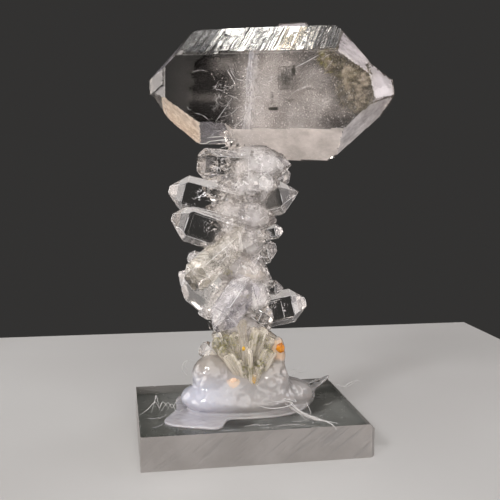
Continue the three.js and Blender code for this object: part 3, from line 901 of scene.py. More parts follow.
def sheenFinish():
    material, tree, shader, place = newMaterial("etchedSheen")
    stria = placeGroup(tree, "stria", Spacing=3400.0, Patchiness=0.6)
    lines = stria.outputs["Lines"]
    amber = mixColour(tree, rampNode(tree, lines, 0.4, 0.6), (0.62, 0.47, 0.27), (0.97, 0.90, 0.76))
    patches = patchNode(tree, place, 1300, 5, 0.7, 0.34, 0.5)
    silver = mixColour(tree, patches, (0.62, 0.62, 0.66), (0.985, 0.98, 0.97))
    shown = mixColour(tree, attributeNode(tree, "golden"), silver, amber)
    blotch = mathNode(tree, "MULTIPLY_ADD", patchNode(tree, place, 1700, 5, 0.75, 0.4, 0.62), 1.2, 0.45)
    # painted shade: where the brightness is low the film's colour goes near black, mottled at random
    mottleAndShade = mathNode(tree, "MULTIPLY", attributeNode(tree, "tone"), blotch, clamp=True)
    feed(shader, "Base Color", mixColour(tree, mottleAndShade, (0.035, 0.036, 0.042), shown))
    setPlain(shader, {"Metallic": 1.0})
    feed(shader, "Roughness", mathNode(tree, "MULTIPLY_ADD", lines, 0.3, 0.10))
    pits = mathNode(tree, "MULTIPLY_ADD", noiseNode(tree, place, 2600, 4, 0.6), 0.5, stria.outputs["Height"])
    bumpInto(tree, shader, pits, 0.00012, 0.6)
    grain = mathNode(tree, "MULTIPLY_ADD", patchNode(tree, place, 1500, 5, 0.7, 0.36, 0.60), 0.45, 0.55)
    feedAlpha(tree, shader, grain)
    return material


def liftSheen(skin):       # an etched metallic film just above the ribs of the upper face, bright in the middle, its ends painted near black as shade
    films = skin.attributes["ironFilm"].data
    upward = Vector(headTurn @ topNormal)
    vertices, faces, veils, golds, sheenShading = [], [], [], [], []
    chance = random.Random(7)
    for polygon in skin.polygons:
        if films[polygon.index].value < 0.5 or polygon.normal.dot(upward) < 0.975 or polygon.area < 4e-10:
            continue
        start = len(vertices)
        along = (headTurn.T @ (np.array(polygon.center) / mm - headMiddle))[0]
        along += chance.uniform(-sheen["spread"], sheen["spread"])
        # each facet's cover, golden tint and brightness; a low brightness paints shade
        zones = (zone[2:] for zone in sheen["zones"] if zone[0] <= along < zone[1])
        cover, golden, bright = next(zones, sheen["elsewhere"])
        dull = chance.random() >= 1 - sheen["dullShare"]
        bright *= chance.uniform(*sheen["dullSpread" if dull else "brightSpread"])
        for index in polygon.vertices:
            vertices.append(skin.vertices[index].co + polygon.normal * sheen["lift"] * mm)
            veils.append(cover)
            golds.append(golden * chance.uniform(*sheen["goldSpread"]))
            sheenShading.append(bright)
        faces.append(tuple(range(start, len(vertices))))
    mesh = bpy.data.meshes.new("etchedSheen")
    mesh.from_pydata(vertices, [], faces)
    mesh.materials.append(sheenFinish())
    addLayer(mesh, "crystalAxis", np.tile(headTurn[:, 0], (len(faces), 1)), "FACE")
    addLayer(mesh, "striation", np.ones(len(faces)), "FACE")
    for name, values in (("veil", veils), ("golden", golds), ("tone", sheenShading)):
        addLayer(mesh, name, np.clip(values, 0, 1))
    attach(newObject("etchedSheen", mesh), "root")
    print("stage: sheen of", len(faces), "facets")


def buildQuartz():
    gatherCrystals()
    gatherRibs()
    meshes = [crystalMesh(c["faces"], c["matrix"], c["edge"], c["striation"], c["film"]) for c in crystals]
    skin = outerSkin(unite(meshes))
    found, count = markFaces(skin)
    skin.materials.clear()       # joining leaves an empty place in the list
    skin.materials.append(quartzFinish())
    piece = newObject("quartzCluster", skin)
    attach(piece, "root")
    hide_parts("quartz_cluster")
    liftSheen(skin)
    print("stage: quartz skin of", count, "faces,", found, "known,", len(crystals), "crystals and plates")


buildQuartz()


# Everything that lies inside the clear quartz

mainCrystals = [crystal for crystal in crystals if crystal["edge"] > 0.03]


def moved(points, matrix):
    matrix = np.array(matrix)
    return points @ matrix[:3, :3].T + matrix[:3, 3]


def insideQuartz(points, margin):       # points in mm, at least margin below some crystal's faces
    found = np.zeros(len(points), bool)
    for crystal in mainCrystals:
        normals, distances = planesOf(crystal["faces"])
        local = moved(points, crystal["matrix"].inverted())
        found |= (local @ normals.T <= distances - margin).all(axis=1)
    return found


def fromHead(points):
    return np.asarray(points, float) @ headTurn.T + headMiddle


def intoHead(points):
    return (points - headMiddle) @ headTurn


def gridCells(shape, keep):       # the cells of a grid whose four points are all kept
    index = np.arange(shape[0] * shape[1]).reshape(shape)
    quads = np.stack([index[:-1, :-1], index[:-1, 1:], index[1:, 1:], index[1:, :-1]], axis=-1).reshape(-1, 4)
    used, renamed = np.unique(quads[keep[quads].all(axis=1)], return_inverse=True)
    return used, renamed.reshape(-1, 4)


def smoothNoise(points, scale, seed):
    shift = Vector((seed * 3.1, seed * 1.7, -seed * 2.3))
    return np.array([noise.fractal(Vector(point) * scale + shift, 0.9, 2.1, 4) for point in points])


def closedMesh(name, vertices, faces, material, smooth=False):
    mesh = bpy.data.meshes.new(name)
    mesh.from_pydata([tuple(v) for v in vertices], [], [tuple(f) for f in faces])
    mesh.update()
    mesh.polygons.foreach_set("use_smooth", [smooth] * len(mesh.polygons))
    mesh.materials.append(material)
    made = newObject(name, mesh)
    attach(made, "root")
    return made


def crumbs(points, sizes, flatness, chance):       # one tiny closed chip for each point
    count = len(points)
    corners = np.array([(1, 1, 1), (1, -1, -1), (-1, 1, -1), (-1, -1, 1)], float) / math.sqrt(3)
    quaternion = chance.normal(size=(count, 4))
    quaternion /= np.linalg.norm(quaternion, axis=1)[:, None]
    w, x, y, z = quaternion.T
    turns = np.stack([
        1 - 2 * (y * y + z * z), 2 * (x * y - z * w), 2 * (x * z + y * w),
        2 * (x * y + z * w), 1 - 2 * (x * x + z * z), 2 * (y * z - x * w),
        2 * (x * z - y * w), 2 * (y * z + x * w), 1 - 2 * (x * x + y * y),
    ], axis=1).reshape(count, 3, 3)
    extents = np.stack([sizes, sizes * chance.uniform(0.5, 1, count), sizes * flatness], axis=1)
    shaped = corners[None] * extents[:, None, :]
    vertices = (points[:, None, :] + shaped @ turns.transpose(0, 2, 1)) * mm
    faces = np.array([(0, 1, 2), (0, 3, 1), (0, 2, 3), (1, 3, 2)])[None] + 4 * np.arange(count)[:, None, None]
    return vertices.reshape(-1, 3), faces.reshape(-1, 3)


def sprinkle(name, points, sizes, flatness, material, seed):
    chance = np.random.default_rng(seed)
    vertices, faces = crumbs(points, sizes, flatness, chance)
    return closedMesh(name, vertices, faces, material)


def denseCloud(count, low, high, weight, seed, margin=0.25):     # keeps points in the head by a local weight
    chance = np.random.default_rng(seed)
    points = chance.uniform(low, high, (count, 3))
    patchy = smoothNoise(points, 0.42, seed)
    keep = chance.uniform(size=count) < weight(points) * (0.55 + 0.9 * patchy)
    world = fromHead(points[keep])
    return world[insideQuartz(world, margin)]


def bell(value, middle, half):
    return np.exp(-((value - middle) / half) ** 2)


# moss-like inclusion near the right tip, and the darker grains about it
moss = {
    "grains": 64000, "grainSize": (0.03, 0.09), "strays": 0.12,
    "outline": [(9.2, 4.6), (10.4, 5.3), (11.8, 5.2), (12.8, 4.3), (14.2, 3.9), (15.6, 3.2), (17.0, 2.8),
                (18.3, 1.8), (19.2, 0.6), (19.4, -1.2), (19.1, -3.0), (18.0, -4.6), (16.4, -5.6),
                (14.6, -5.3), (13.2, -4.2), (12.5, -2.4), (12.4, -0.6), (11.6, 0.8), (10.2, 1.6), (9.0, 3.0)],
    "depth": -4.5, "relief": 0.4, "cell": 0.16, "across": (8.4, 20.4), "upward": (-6.4, 6.2),
    "layers": ((0.0, 0.0), (1.1, 0.3)),       # how much deeper, how much smaller
    # dark run down the left of it: x, z
    "darkRun": [(12.4, 4.0), (13.2, 2.4), (12.9, 0.4), (13.2, -1.8), (13.9, -3.8), (15.2, -4.4)],
    # yellow patches: x, z, half sizes
    "yellow": [(10.2, 4.3, 0.5, 0.4), (11.2, 3.5, 0.6, 0.35), (10.9, 2.4, 0.4, 0.5), (11.8, 1.3, 0.5, 0.35),
               (10.2, 2.9, 0.35, 0.4), (12.2, 2.6, 0.35, 0.3), (9.7, 3.5, 0.3, 0.25), (11.0, 1.2, 0.3, 0.25)],
    "kinds": {      # share of the grains from and to, light, dark
        "mossBrown": (0, 0.42, (0.30, 0.24, 0.15), (0.10, 0.08, 0.05)),
        "mossOlive": (0.42, 0.66, (0.34, 0.31, 0.16), (0.17, 0.16, 0.08)),
        "mossPale": (0.66, 1, (0.66, 0.60, 0.49), (0.44, 0.39, 0.30)),
    },
    "yellowGrains": 30000, "yellowSize": (0.02, 0.065),
    "lobes": [      # middle, half sizes (head frame, mm), density
        ((15.9, -4.0, -1.2), (4.3, 2.6, 4.6), 1.0),
        ((11.6, -4.2, 3.4), (2.6, 1.8, 1.9), 1.0),
    ],
}


def lobeWeight(points, lobes):
    total = np.zeros(len(points))
    for middle, half, density in lobes:
        apart = np.linalg.norm((points - middle) / np.array(half), axis=1)
        total += density * np.clip(1.25 - apart, 0, 1)
    return np.clip(total, 0, 1)


# milky haze of the head, thickest about the healed thread
haze = {
    "specks": 52000, "speckSize": (0.02, 0.055), "veils": 11,
    "colour": (0.93, 0.875, 0.85), "shade": (0.86, 0.80, 0.775),
    # foot: a denser, darker speck cloud low on the left of the head, partly milky haze, partly painted shade
    # over a bright reflection
    "foot": {"count": 46000, "low": (-8.6, -4.2, -10.6), "high": (-5.0, 1.0, -6.8), "size": (0.06, 0.13),
             "lobes": [((-6.8, -1.8, -8.7), (1.3, 2.0, 1.4), 1.0)]},
    "veilSize": (46, 25), "veilFront": -4.6, "veilReach": 9.4, "veilTurn": 0.12, "veilLean": 0.18,
    # clearer places left and below the moss: middle (x, z), half sizes, how clear
    "gaps": [((12.6, -2.4), (1.1, 3.0), 0.35), ((14.6, -7.4), (4.6, 2.0), 0.85),
             ((17.6, -6.0), (2.2, 2.2), 0.8), ((8.0, 4.0), (2.4, 1.6), 0.5), ((21.0, -1.0), (1.8, 6.0), 0.9)],
}


def hazeWeight(points):
    x, z = points[:, 0], points[:, 2]
    core = bell(x, -1.2, 3.4)                                             # about the thread
    right = 0.62 / (1 + np.exp(-(x - 0.5) * 0.9))                         # thinner, over the right half
    low = 0.6 * bell(z, -10.5, 2.4) / (1 + np.exp(-(x + 5) * 1.5))        # over the foot of the head
    left = 0.03 + 0.16 * bell(x, -9.5, 3.5) * bell(z, -2.4, 0.7)          # two wisps in the clear left
    left = left + 0.3 * bell(x, -7.0, 2.2) * bell(z, 3.6, 1.4)
    total = np.clip(core + right + low + left, 0, 1)
    for (across, upward), (wide, tall), share in haze["gaps"]:
        total *= 1 - share * np.exp(-((x - across) / wide) ** 4 - ((z - upward) / tall) ** 4)
    total *= 1 - 0.9 * lobeWeight(points, moss["lobes"])
    return total * (1 - 0.5 / (1 + np.exp(-(z - 4.6) * 1.6)))


def veilMaterial(name, colour, shade, strength, scale, low, high, evenness=0.0):
    material, tree, shader, place = newMaterial(name)
    blotch = patchNode(tree, place, scale * 0.8, 3, 0.55, 0.3, 0.7)
    feed(shader, "Base Color", mixColour(tree, blotch, shade, colour))
    setPlain(shader, {"Roughness": 0.7})
    grain = patchNode(tree, place, scale, 6, 0.68, low, high)
    feedAlpha(tree, shader, mathNode(tree, "MULTIPLY_ADD", grain, 1 - evenness, evenness), strength)
    return material


def veilSheet(name, centre, across, upward, size, wave, weight, material, seed, cell=0.5, margin=0.2):
    across, upward = Vector(across).normalized(), Vector(upward).normalized()
    outward = across.cross(upward).normalized()
    upward = outward.cross(across)
    columns, rows = int(size[0] / cell), int(size[1] / cell)
    ways = (np.linspace(-0.5, 0.5, count + 1) * length for count, length in zip((columns, rows), size))
    u, v = np.meshgrid(*ways)
    flat = np.stack([u.ravel(), v.ravel(), np.zeros(u.size)], axis=1)
    bend = smoothNoise(flat, 0.16, seed) - 0.3
    points = np.array(centre) + flat[:, :1] * np.array(across) + flat[:, 1:2] * np.array(upward)
    points = points + (bend * wave)[:, None] * np.array(outward)
    world = fromHead(points)
    used, cells = gridCells((rows + 1, columns + 1), insideQuartz(world, margin))
    if not len(used):
        return
    sheet = closedMesh(name, world[used] * mm, cells, material, smooth=True)
    edge = np.minimum(0.5 - np.abs(flat[used, 0] / size[0]), 0.5 - np.abs(flat[used, 1] / size[1]))
    addLayer(sheet.data, "veil", weight(points[used]) * np.clip(edge / 0.12, 0, 1))


threadLook = {       # the healed thread that rises a little to the right: sheets (place, lean), size (mm)
    "sheets": ((-1.9, 0.05), (-2.4, 0.09), (-1.5, 0.02)), "size": (5, 22), "lean": 0.10, "middle": -2.0,
    "wide": 1.1, "glints": 420,
}


def threadWeight(points):
    return bell(points[:, 0] - threadLook["lean"] * (points[:, 2] - 2), threadLook["middle"],
                threadLook["wide"])


def fillHead():
    chance = np.random.default_rng(5)
    points = denseCloud(haze["specks"], (-24, -7, -13), (25, 7, 10), hazeWeight, 6)
    sprinkle("milkySpecks", points, chance.uniform(*haze["speckSize"], len(points)), 0.5,
             milkFinish("milkySpeck", (0.97, 0.945, 0.93), (0.88, 0.84, 0.81)), 7)
    # partly painted shade: darker specks packed low on the left of the head dull a bright reflection there
    spec = haze["foot"]
    foot = denseCloud(spec["count"], spec["low"], spec["high"],
                      lambda p: lobeWeight(p, spec["lobes"]), 8, margin=0.07)
    sprinkle("milkyShadeFoot", foot, chance.uniform(*spec["size"], len(foot)), 0.5,
             milkFinish("milkyShadeFoot", (0.72, 0.64, 0.60), (0.56, 0.50, 0.47)), 9)
    cloud = veilMaterial("milkyCloud", haze["colour"], haze["shade"], 0.175, 300, 0.34, 0.66, evenness=0.5)
    for index in range(haze["veils"]):
        depth = haze["veilFront"] + haze["veilReach"] * index / (haze["veils"] - 1)
        tilt = chance.uniform(-haze["veilTurn"], haze["veilTurn"])
        across = (1, tilt, chance.uniform(-0.05, 0.05))
        upward = (0, haze["veilLean"] + chance.uniform(-0.1, 0.1), 1)
        veilSheet("milkyVeil%d" % index, (3, depth, -1), across, upward, haze["veilSize"], 1.6, hazeWeight,
                  cloud, 40 + index)
    thread = veilMaterial("healedThread", (0.97, 0.97, 1.0), (0.86, 0.87, 0.93), 0.95, 900, 0.36, 0.6)
    for index, (middle, lean) in enumerate(threadLook["sheets"]):
        veilSheet("healedThread%d" % index, (middle, -2.2, -1), (0.10 + 0.1 * index, 1, 0), (lean, 0, 1),
                  threadLook["size"], 0.35, threadWeight, thread, 60 + index, cell=0.3)
    count = threadLook["glints"]
    deep = chance.normal(threadLook["middle"], 0.5, count), chance.uniform(-5.6, -3.0, count)
    spots = np.stack([*deep, chance.uniform(-12.6, 4.6, count)], axis=1)
    spots[:, 0] += threadLook["lean"] * (spots[:, 2] - 2)
    spots = fromHead(spots)
    spots = spots[insideQuartz(spots, 0.15)]
    sprinkle("threadGlints", spots, chance.uniform(0.05, 0.17, len(spots)), 0.2,
             milkFinish("threadGlint", (0.97, 0.98, 1.0), (0.86, 0.88, 0.95), 0.25), 63)
    print("stage: haze of the head,", len(points), "specks")


fillHead()


# thin films just under some of the head's facets: partly cloudy or stained skins, partly painted highlights
# and reflections that stand in for the light these facets catch
facetLightFilms = [      # part, face, finish
    (0, 18, "stained"), (2, 18, "stained"), (0, 19, "frost"), (2, 19, "frost"), (0, 5, "wisp"),
    (1, 12, "frost"), (2, 12, "frost"), (0, 12, "frost"), (1, 13, "wisp"), (0, 20, "pearl"),
    (3, 18, "satin"), (0, 22, "satin"), (3, 11, "veiled"), (0, 11, "veiled"), (4, 11, "streaky"),
    (4, 18, "milk"), (4, 17, "milk"), (6, 1, "pearl"), (6, 0, "pearl"),
]
facetLightLook = {       # light colour, shade, cover, how streaky, roughness
    "stained": ((1.0, 0.92, 0.82), (0.97, 0.79, 0.64), 0.97, 1.0, 0.4),
    "frost": ((0.84, 0.78, 0.74), (0.64, 0.59, 0.56), 0.16, 0.4, 0.5),
    "pearl": ((0.90, 0.85, 0.88), (0.50, 0.46, 0.49), 0.50, 0.6, 0.4),
    "satin": ((0.88, 0.84, 0.87), (0.76, 0.72, 0.75), 0.43, 0.2, 0.35),
    "veiled": ((0.93, 0.88, 0.89), (0.62, 0.58, 0.60), 0.72, 0.6, 0.4),
    "streaky": ((0.97, 0.94, 0.94), (0.60, 0.565, 0.58), 0.72, 0.5, 0.4),
    "wisp": ((0.84, 0.80, 0.86), (0.62, 0.58, 0.66), 0.30, 0.9, 0.5),
    "milk": ((0.94, 0.88, 0.85), (0.84, 0.775, 0.735), 0.80, 0.2, 0.5),
    # rim: a painted highlight for the tips of the side crystals
    "rim": ((0.92, 0.90, 0.92), (0.70, 0.68, 0.70), 0.10, 0.3, 0.35),
}


def filmFinish(key):
    light, shade, cover, streaky, rough = facetLightLook[key]
    material, tree, shader, place = newMaterial(key + "Film")
    flow = attributeNode(tree, "filmPlace", "Vector")
    streaks = patchNode(tree, flow, 1.6, 6, 0.68, 0.36, 0.64)
    soft = patchNode(tree, place, 240, 3, 0.55, 0.3, 0.7)
    grain = patchNode(tree, place, 1500, 4, 0.6, 0.3, 0.7)
    fine = mathNode(tree, "MULTIPLY", grain, 0.25)
    calm = mathNode(tree, "MULTIPLY", mathNode(tree, "MULTIPLY_ADD", soft, 0.75, fine), 1 - 0.7 * streaky)
    mixed = mathNode(tree, "MULTIPLY_ADD", streaks, 0.7 * streaky, calm)
    feed(shader, "Base Color", mixColour(tree, mixed, shade, light))
    setPlain(shader, {"Roughness": rough})
    feedAlpha(tree, shader, mathNode(tree, "MULTIPLY_ADD", mixed, 0.5 * cover, 0.5 * cover + 0.05))
    return material


def facetFilm(name, crystal, faceIndex, material, cell=0.3, depth=0.16):
    turned = np.array(crystal["matrix"])
    normals, distances = planesOf(crystal["faces"])
    corners = cornersOf(normals, distances)
    normal, distance = normals[faceIndex], distances[faceIndex]
    rim = corners[np.abs(corners @ normal - distance) < 1e-3]
    if len(rim) < 3:
        return
    spread = rim - rim.mean(axis=0)
    along = np.linalg.svd(spread)[2][0]
    over = np.cross(normal, along)
    u, v = spread @ along, spread @ over
    grid = np.meshgrid(np.arange(u.min(), u.max() + cell, cell), np.arange(v.min(), v.max() + cell, cell))
    flat = [values.reshape(-1, 1) for values in grid]
    points = rim.mean(axis=0) + flat[0] * along + flat[1] * over - normal * depth
    others = [index for index in range(len(distances)) if index != faceIndex]
    room = (distances[others] - points @ normals[others].T).min(axis=1)
    world = moved(points, turned)
    outside = ~insideQuartz(world + (turned[:3, :3] @ normal) * (depth + 0.05), 0)
    used, cells = gridCells(grid[0].shape, (room > 0.03) & outside)
    if not len(used):
        return
    sheet = closedMesh(name, world[used] * mm, cells, material, smooth=True)
    addLayer(sheet.data, "veil", np.ones(len(used)))
    level = np.full((len(used), 1), faceIndex * 9.0 + turned[2, 3])       # no two faces share their streaks
    addLayer(sheet.data, "filmPlace", np.hstack([flat[0][used] * 0.34, flat[1][used] * 0.62, level]))


tipFaces = tuple(range(6, 12))
beside = (1, 2, 4, 5)              # the four faces beside the broad two
filmed = {       # side crystals whose filmed faces differ from the tip alone
    0: beside, 1: beside + tipFaces, 2: beside + tipFaces, 18: beside + tipFaces, 6: (), 7: (), 19: (),
}


def fillFilms():
    finishes = {key: filmFinish(key) for key in facetLightLook}
    for index, (part, faceIndex, key) in enumerate(facetLightFilms):
        facetFilm("facetFilm%d" % index, crystals[part], faceIndex, finishes[key])
    # painted highlights: pale films under the side crystals' forward-looking faces, standing in for the light
    # their rims catch
    for number, crystal in enumerate(ofKind("side")):
        turned = np.array(crystal["matrix"])[:3, :3]
        for index in filmed.get(number, tipFaces):
            if (turned @ crystal["faces"][index][0])[1] < -0.12:       # only those that look forward
                name = "rimHighlight%d_%d" % (number, index)
                facetFilm(name, crystal, index, finishes["rim"], cell=0.16, depth=0.08)


fillFilms()


# cracks that mirror the light, most about the thread
cracks = [       # centre, across, upward, size, wave (head frame, mm)
    ((-5.6, -2.0, 2.2), (1, 0.3, -0.9), (0.3, 1, 0.3), (5.2, 2.4), 0.5),
    ((-4.8, 0.5, -3.4), (1, -0.2, 0.8), (0, 1, 0.2), (6.5, 3.0), 0.7),
    ((-7.8, -1.0, -6.2), (1, 0.2, 0.5), (0.2, 1, 0), (5.0, 2.6), 0.4),
    ((-2.6, -2.6, 5.2), (0.6, 0.2, 1), (0.1, 1, 0), (4.4, 2.2), 0.5),
    ((3.2, -3.0, 1.8), (1, 0.2, 0.25), (0.1, 1, 0.3), (5.5, 2.0), 0.8),
    ((7.5, -1.5, 4.3), (1, 0.3, 0.45), (0, 1, 0.3), (5.0, 1.6), 0.6),
    ((6.8, -2.5, 0.4), (1, -0.2, 0.5), (0, 1, 0.1), (4.2, 2.2), 0.8),
    ((9.2, 1.0, -3.0), (1, 0.3, 0.1), (0, 1, 0.5), (7.0, 2.4), 0.8),
    ((12.0, -2.0, -7.6), (1, 0.2, 0.6), (0, 1, 0.1), (5.5, 2.0), 0.5),
    ((15.5, -1.0, -6.4), (1, 0.1, 0.8), (0, 1, 0), (6.0, 1.8), 0.4),
    ((-12.0, 1.0, -5.2), (1, 0.4, 0.2), (0, 1, 0.4), (5.0, 2.0), 0.5),
    ((-13.5, 2.0, 2.0), (1, 0.3, -0.2), (0, 1, 0.4), (6.0, 2.2), 0.6),
]
sideCracks = {"each": 2, "nearest": 0.38, "furthest": 0.68, "longEnough": 7.5,
              "sizes": ((2.4, 1.4), (4.6, 3.0))}


def crackFinish():
    material, tree, shader, place = newMaterial("mirrorCrack")
    setPlain(shader, {"Base Color": (0.92, 0.92, 0.95, 1), "Metallic": 0.4, "Roughness": 0.2})
    flecks = patchNode(tree, place, 1100, 4, 0.7, 0.58, 0.64)
    lines = placeGroup(tree, "crackle", Size=620.0).outputs["Lines"]
    feedAlpha(tree, shader, mathNode(tree, "MAXIMUM", lines, flecks), 0.75)
    bumpInto(tree, shader, noiseNode(tree, place, 500, 4, 0.6), 0.0002, 0.8)
    return material


def evenly(points):
    return np.ones(len(points))


def fillCracks():
    mirror = crackFinish()
    for index, (centre, across, upward, size, wave) in enumerate(cracks):
        veilSheet("crack%d" % index, centre, across, upward, size, wave, evenly, mirror, 80 + index,
                  cell=0.25)
    chance = np.random.default_rng(88)
    for number, crystal in enumerate(c for c in ofKind("side") if c["length"] > sideCracks["longEnough"]):
        turned = np.array(crystal["matrix"])
        for index in range(sideCracks["each"]):
            along = -crystal["length"] * chance.uniform(sideCracks["nearest"], sideCracks["furthest"])
            spot = turned[:3, :3] @ np.array([along, *chance.uniform(-1.1, 1.1, 2)]) + turned[:3, 3]
            lie = chance.normal(size=(2, 3))
            size = chance.uniform(*sideCracks["sizes"])
            veilSheet("sideCrack%d_%d" % (number, index), intoHead(spot), *lie, size, 0.7, evenly, mirror,
                      200 + 7 * number + index, cell=0.2)


fillCracks()


def mossFinish(name, light, dark):
    material, tree, shader, place = newMaterial(name)
    blotch = patchNode(tree, place, 700, 5, 0.7, 0.38, 0.6)
    feed(shader, "Base Color", mixColour(tree, blotch, dark, light))
    setPlain(shader, {"Roughness": 0.75})
    return material


def insideOutline(x, z, outline):
    inside = np.zeros(len(x), bool)
    for (x0, z0), (x1, z1) in zip(outline, outline[1:] + outline[:1]):
        crosses = (z0 > z) != (z1 > z)
        level = x0 + (z - z0) * (x1 - x0) / ((z1 - z0) or 1e-9)
        inside ^= crosses & (x < level)
    return inside


def farFromLine(x, z, line):
    nearest = np.full(len(x), 99.0)
    for (x0, z0), (x1, z1) in zip(line, line[1:]):
        wide, tall = x1 - x0, z1 - z0
        share = np.clip(((x - x0) * wide + (z - z0) * tall) / (wide ** 2 + tall ** 2), 0, 1)
        nearest = np.minimum(nearest, np.hypot(x - x0 - share * wide, z - z0 - share * tall))
    return nearest


def mossSheet(depth, seed, shrink):       # one lumpy layer, ragged at its rim
    outline = moss["outline"]
    x, z = np.meshgrid(*(np.arange(*moss[way], moss["cell"]) for way in ("across", "upward")))
    shape = x.shape
    x, z = x.ravel(), z.ravel()
    flat = np.stack([x, z, np.zeros(len(x))], axis=1)
    wander = smoothNoise(flat, 0.9, seed) - 0.35
    edge = farFromLine(x, z, outline + outline[:1]) * np.where(insideOutline(x, z, outline), 1, -1)
    edge = edge - shrink + 0.7 * wander
    lumps = smoothNoise(flat, 0.55, seed + 1) - 0.35
    fine = smoothNoise(flat, 1.9, seed + 2) - 0.35
    y = depth - moss["relief"] * lumps - 0.35 * fine - 0.5 * np.clip(edge / 2, 0, 1) + 0.35
    world = fromHead(np.stack([x, y, z], axis=1))
    keep = (edge > -0.25) & insideQuartz(world, 0.12)
    used, cells = gridCells(shape, keep)
    return world[used], cells, edge[used], farFromLine(x, z, moss["darkRun"])[used], lumps[used]


def mossBodyFinish():
    material, tree, shader, place = newMaterial("mossBody")
    shade = attributeNode(tree, "mossShade")
    grain = noiseNode(tree, place, 1500, 6, 0.75)
    tone = mathNode(tree, "MULTIPLY_ADD", mathNode(tree, "SUBTRACT", grain, 0.5), 1.8, shade, clamp=True)
    brown = mixColour(tree, rampNode(tree, tone, 0.05, 0.5), (0.09, 0.078, 0.06), (0.34, 0.29, 0.23))
    pale = mixColour(tree, rampNode(tree, tone, 0.45, 1.0), brown, (0.54, 0.485, 0.43))
    olive = patchNode(tree, place, 330, 3, 0.6, 0.5, 0.62)
    faint = mathNode(tree, "MULTIPLY", olive, 0.15)
    feed(shader, "Base Color", mixColour(tree, faint, pale, (0.34, 0.31, 0.17)))
    setPlain(shader, {"Roughness": 0.8})
    broken = patchNode(tree, place, 1100, 5, 0.7, 0.34, 0.56)
    feedAlpha(tree, shader, mathNode(tree, "MULTIPLY_ADD", broken, 0.5, 0.5))
    bumpInto(tree, shader, grain, 0.0003, 0.9)
    return material


def fillMoss():
    chance = np.random.default_rng(15)
    body = mossBodyFinish()
    for index, (deeper, shrink) in enumerate(moss["layers"]):
        points, faces, edge, dark, lumps = mossSheet(moss["depth"] + deeper, 100 + 10 * index, shrink)
        sheet = closedMesh("mossBody%d" % index, points * mm, faces, body, smooth=True)
        shade = 0.50 + 0.34 * lumps - 0.75 * bell(dark, 0, 0.6) - 0.45 * bell(edge, 0.35, 0.45)
        for name, values in (("mossShade", shade), ("veil", 1.05 / (1 + np.exp(-edge * 7)))):
            addLayer(sheet.data, name, np.clip(values, 0, 1))
    points = denseCloud(moss["grains"], (8.5, -5.4, -6.5), (20, -2.0, 6),
                        lambda p: lobeWeight(p, moss["lobes"]) * 0.6, 16)
    local = intoHead(points)
    within = insideOutline(local[:, 0], local[:, 2], moss["outline"])
    points = points[within | (chance.uniform(size=len(points)) < moss["strays"])]
    part = chance.uniform(size=len(points))
    for name, (low, high, light, dark) in moss["kinds"].items():
        chosen = points[(part >= low) & (part < high)]
        sprinkle(name, chosen, chance.uniform(*moss["grainSize"], len(chosen)), 0.5,
                 mossFinish(name, light, dark), 17 + len(name))
    spots = [((x, -4.9, z), (wide, 0.6, tall), 0.9) for x, z, wide, tall in moss["yellow"]]
    yellow = denseCloud(moss["yellowGrains"], (8.8, -5.6, 0.0), (13.0, -3.6, 5.4),
                        lambda p: lobeWeight(p, spots), 21)
    sprinkle("mossYellow", yellow, chance.uniform(*moss["yellowSize"], len(yellow)), 0.5,
             mossFinish("mossYellow", (0.46, 0.42, 0.15), (0.26, 0.24, 0.08)), 22)
    print("stage: moss inclusion,", len(points), "grains")


fillMoss()


# dark grains: smudge, dash and loose specks (head frame, mm; middle, half sizes, count, grain size)
darkSpots = [
    ((4.1, -5.3, 0.5), (1.3, 0.4, 2.0), 1500, 0.085),
    ((5.5, -5.3, 1.7), (0.35, 0.3, 0.9), 520, 0.085),
    ((1.8, -5.2, -2.8), (0.4, 0.3, 1.0), 220, 0.07),
    ((4.8, -5.2, -3.2), (0.8, 0.3, 0.4), 130, 0.06),
    ((2.1, -5.2, -4.6), (0.85, 0.2, 0.26), 640, 0.09),
    ((11.3, -4.2, -10.3), (0.9, 0.3, 0.3), 260, 0.09),
    ((6.6, -3.8, -10.6), (0.5, 0.3, 0.2), 40, 0.07),
    ((0.6, -4.0, 0.4), (0.5, 0.4, 0.5), 46, 0.06),
    ((1.2, -4.0, 2.2), (0.3, 0.4, 0.3), 30, 0.06),
    ((9.0, -4.2, -7.6), (0.9, 0.4, 0.2), 70, 0.05),
    ((22.0, -1.4, -2.4), (0.3, 0.3, 0.3), 60, 0.07),
    ((8.2, -4.2, -1.4), (1.1, 0.3, 0.2), 170, 0.055),
    ((6.8, -4.2, -2.0), (0.5, 0.3, 0.3), 60, 0.05),
    ((10.2, -4.2, -0.2), (0.5, 0.3, 0.2), 70, 0.05),
    ((5.0, -4.4, 5.2), (2.4, 0.4, 0.2), 90, 0.04),
]
looseGrains = {"count": 420, "low": (-18, -6, -12), "high": (21, 3, 6), "size": (0.02, 0.055)}
whiteFlecks = {       # thin bright chips: least and most of each area (head frame, mm), count
    "areas": [((-5, -5.8, -13), (16, -2.6, 5), 1400), ((-9, -5.8, -9), (-2, -3, 2.5), 200)],
    "size": (0.04, 0.15), "flatness": 0.14,
}


def scattered(middle, half, count, limit, share, chance):       # a cloud of points, thickest at its middle
    spread = np.clip(chance.normal(size=(count, 3)), -limit, limit)
    return np.array(middle) + spread * share * np.array(half)


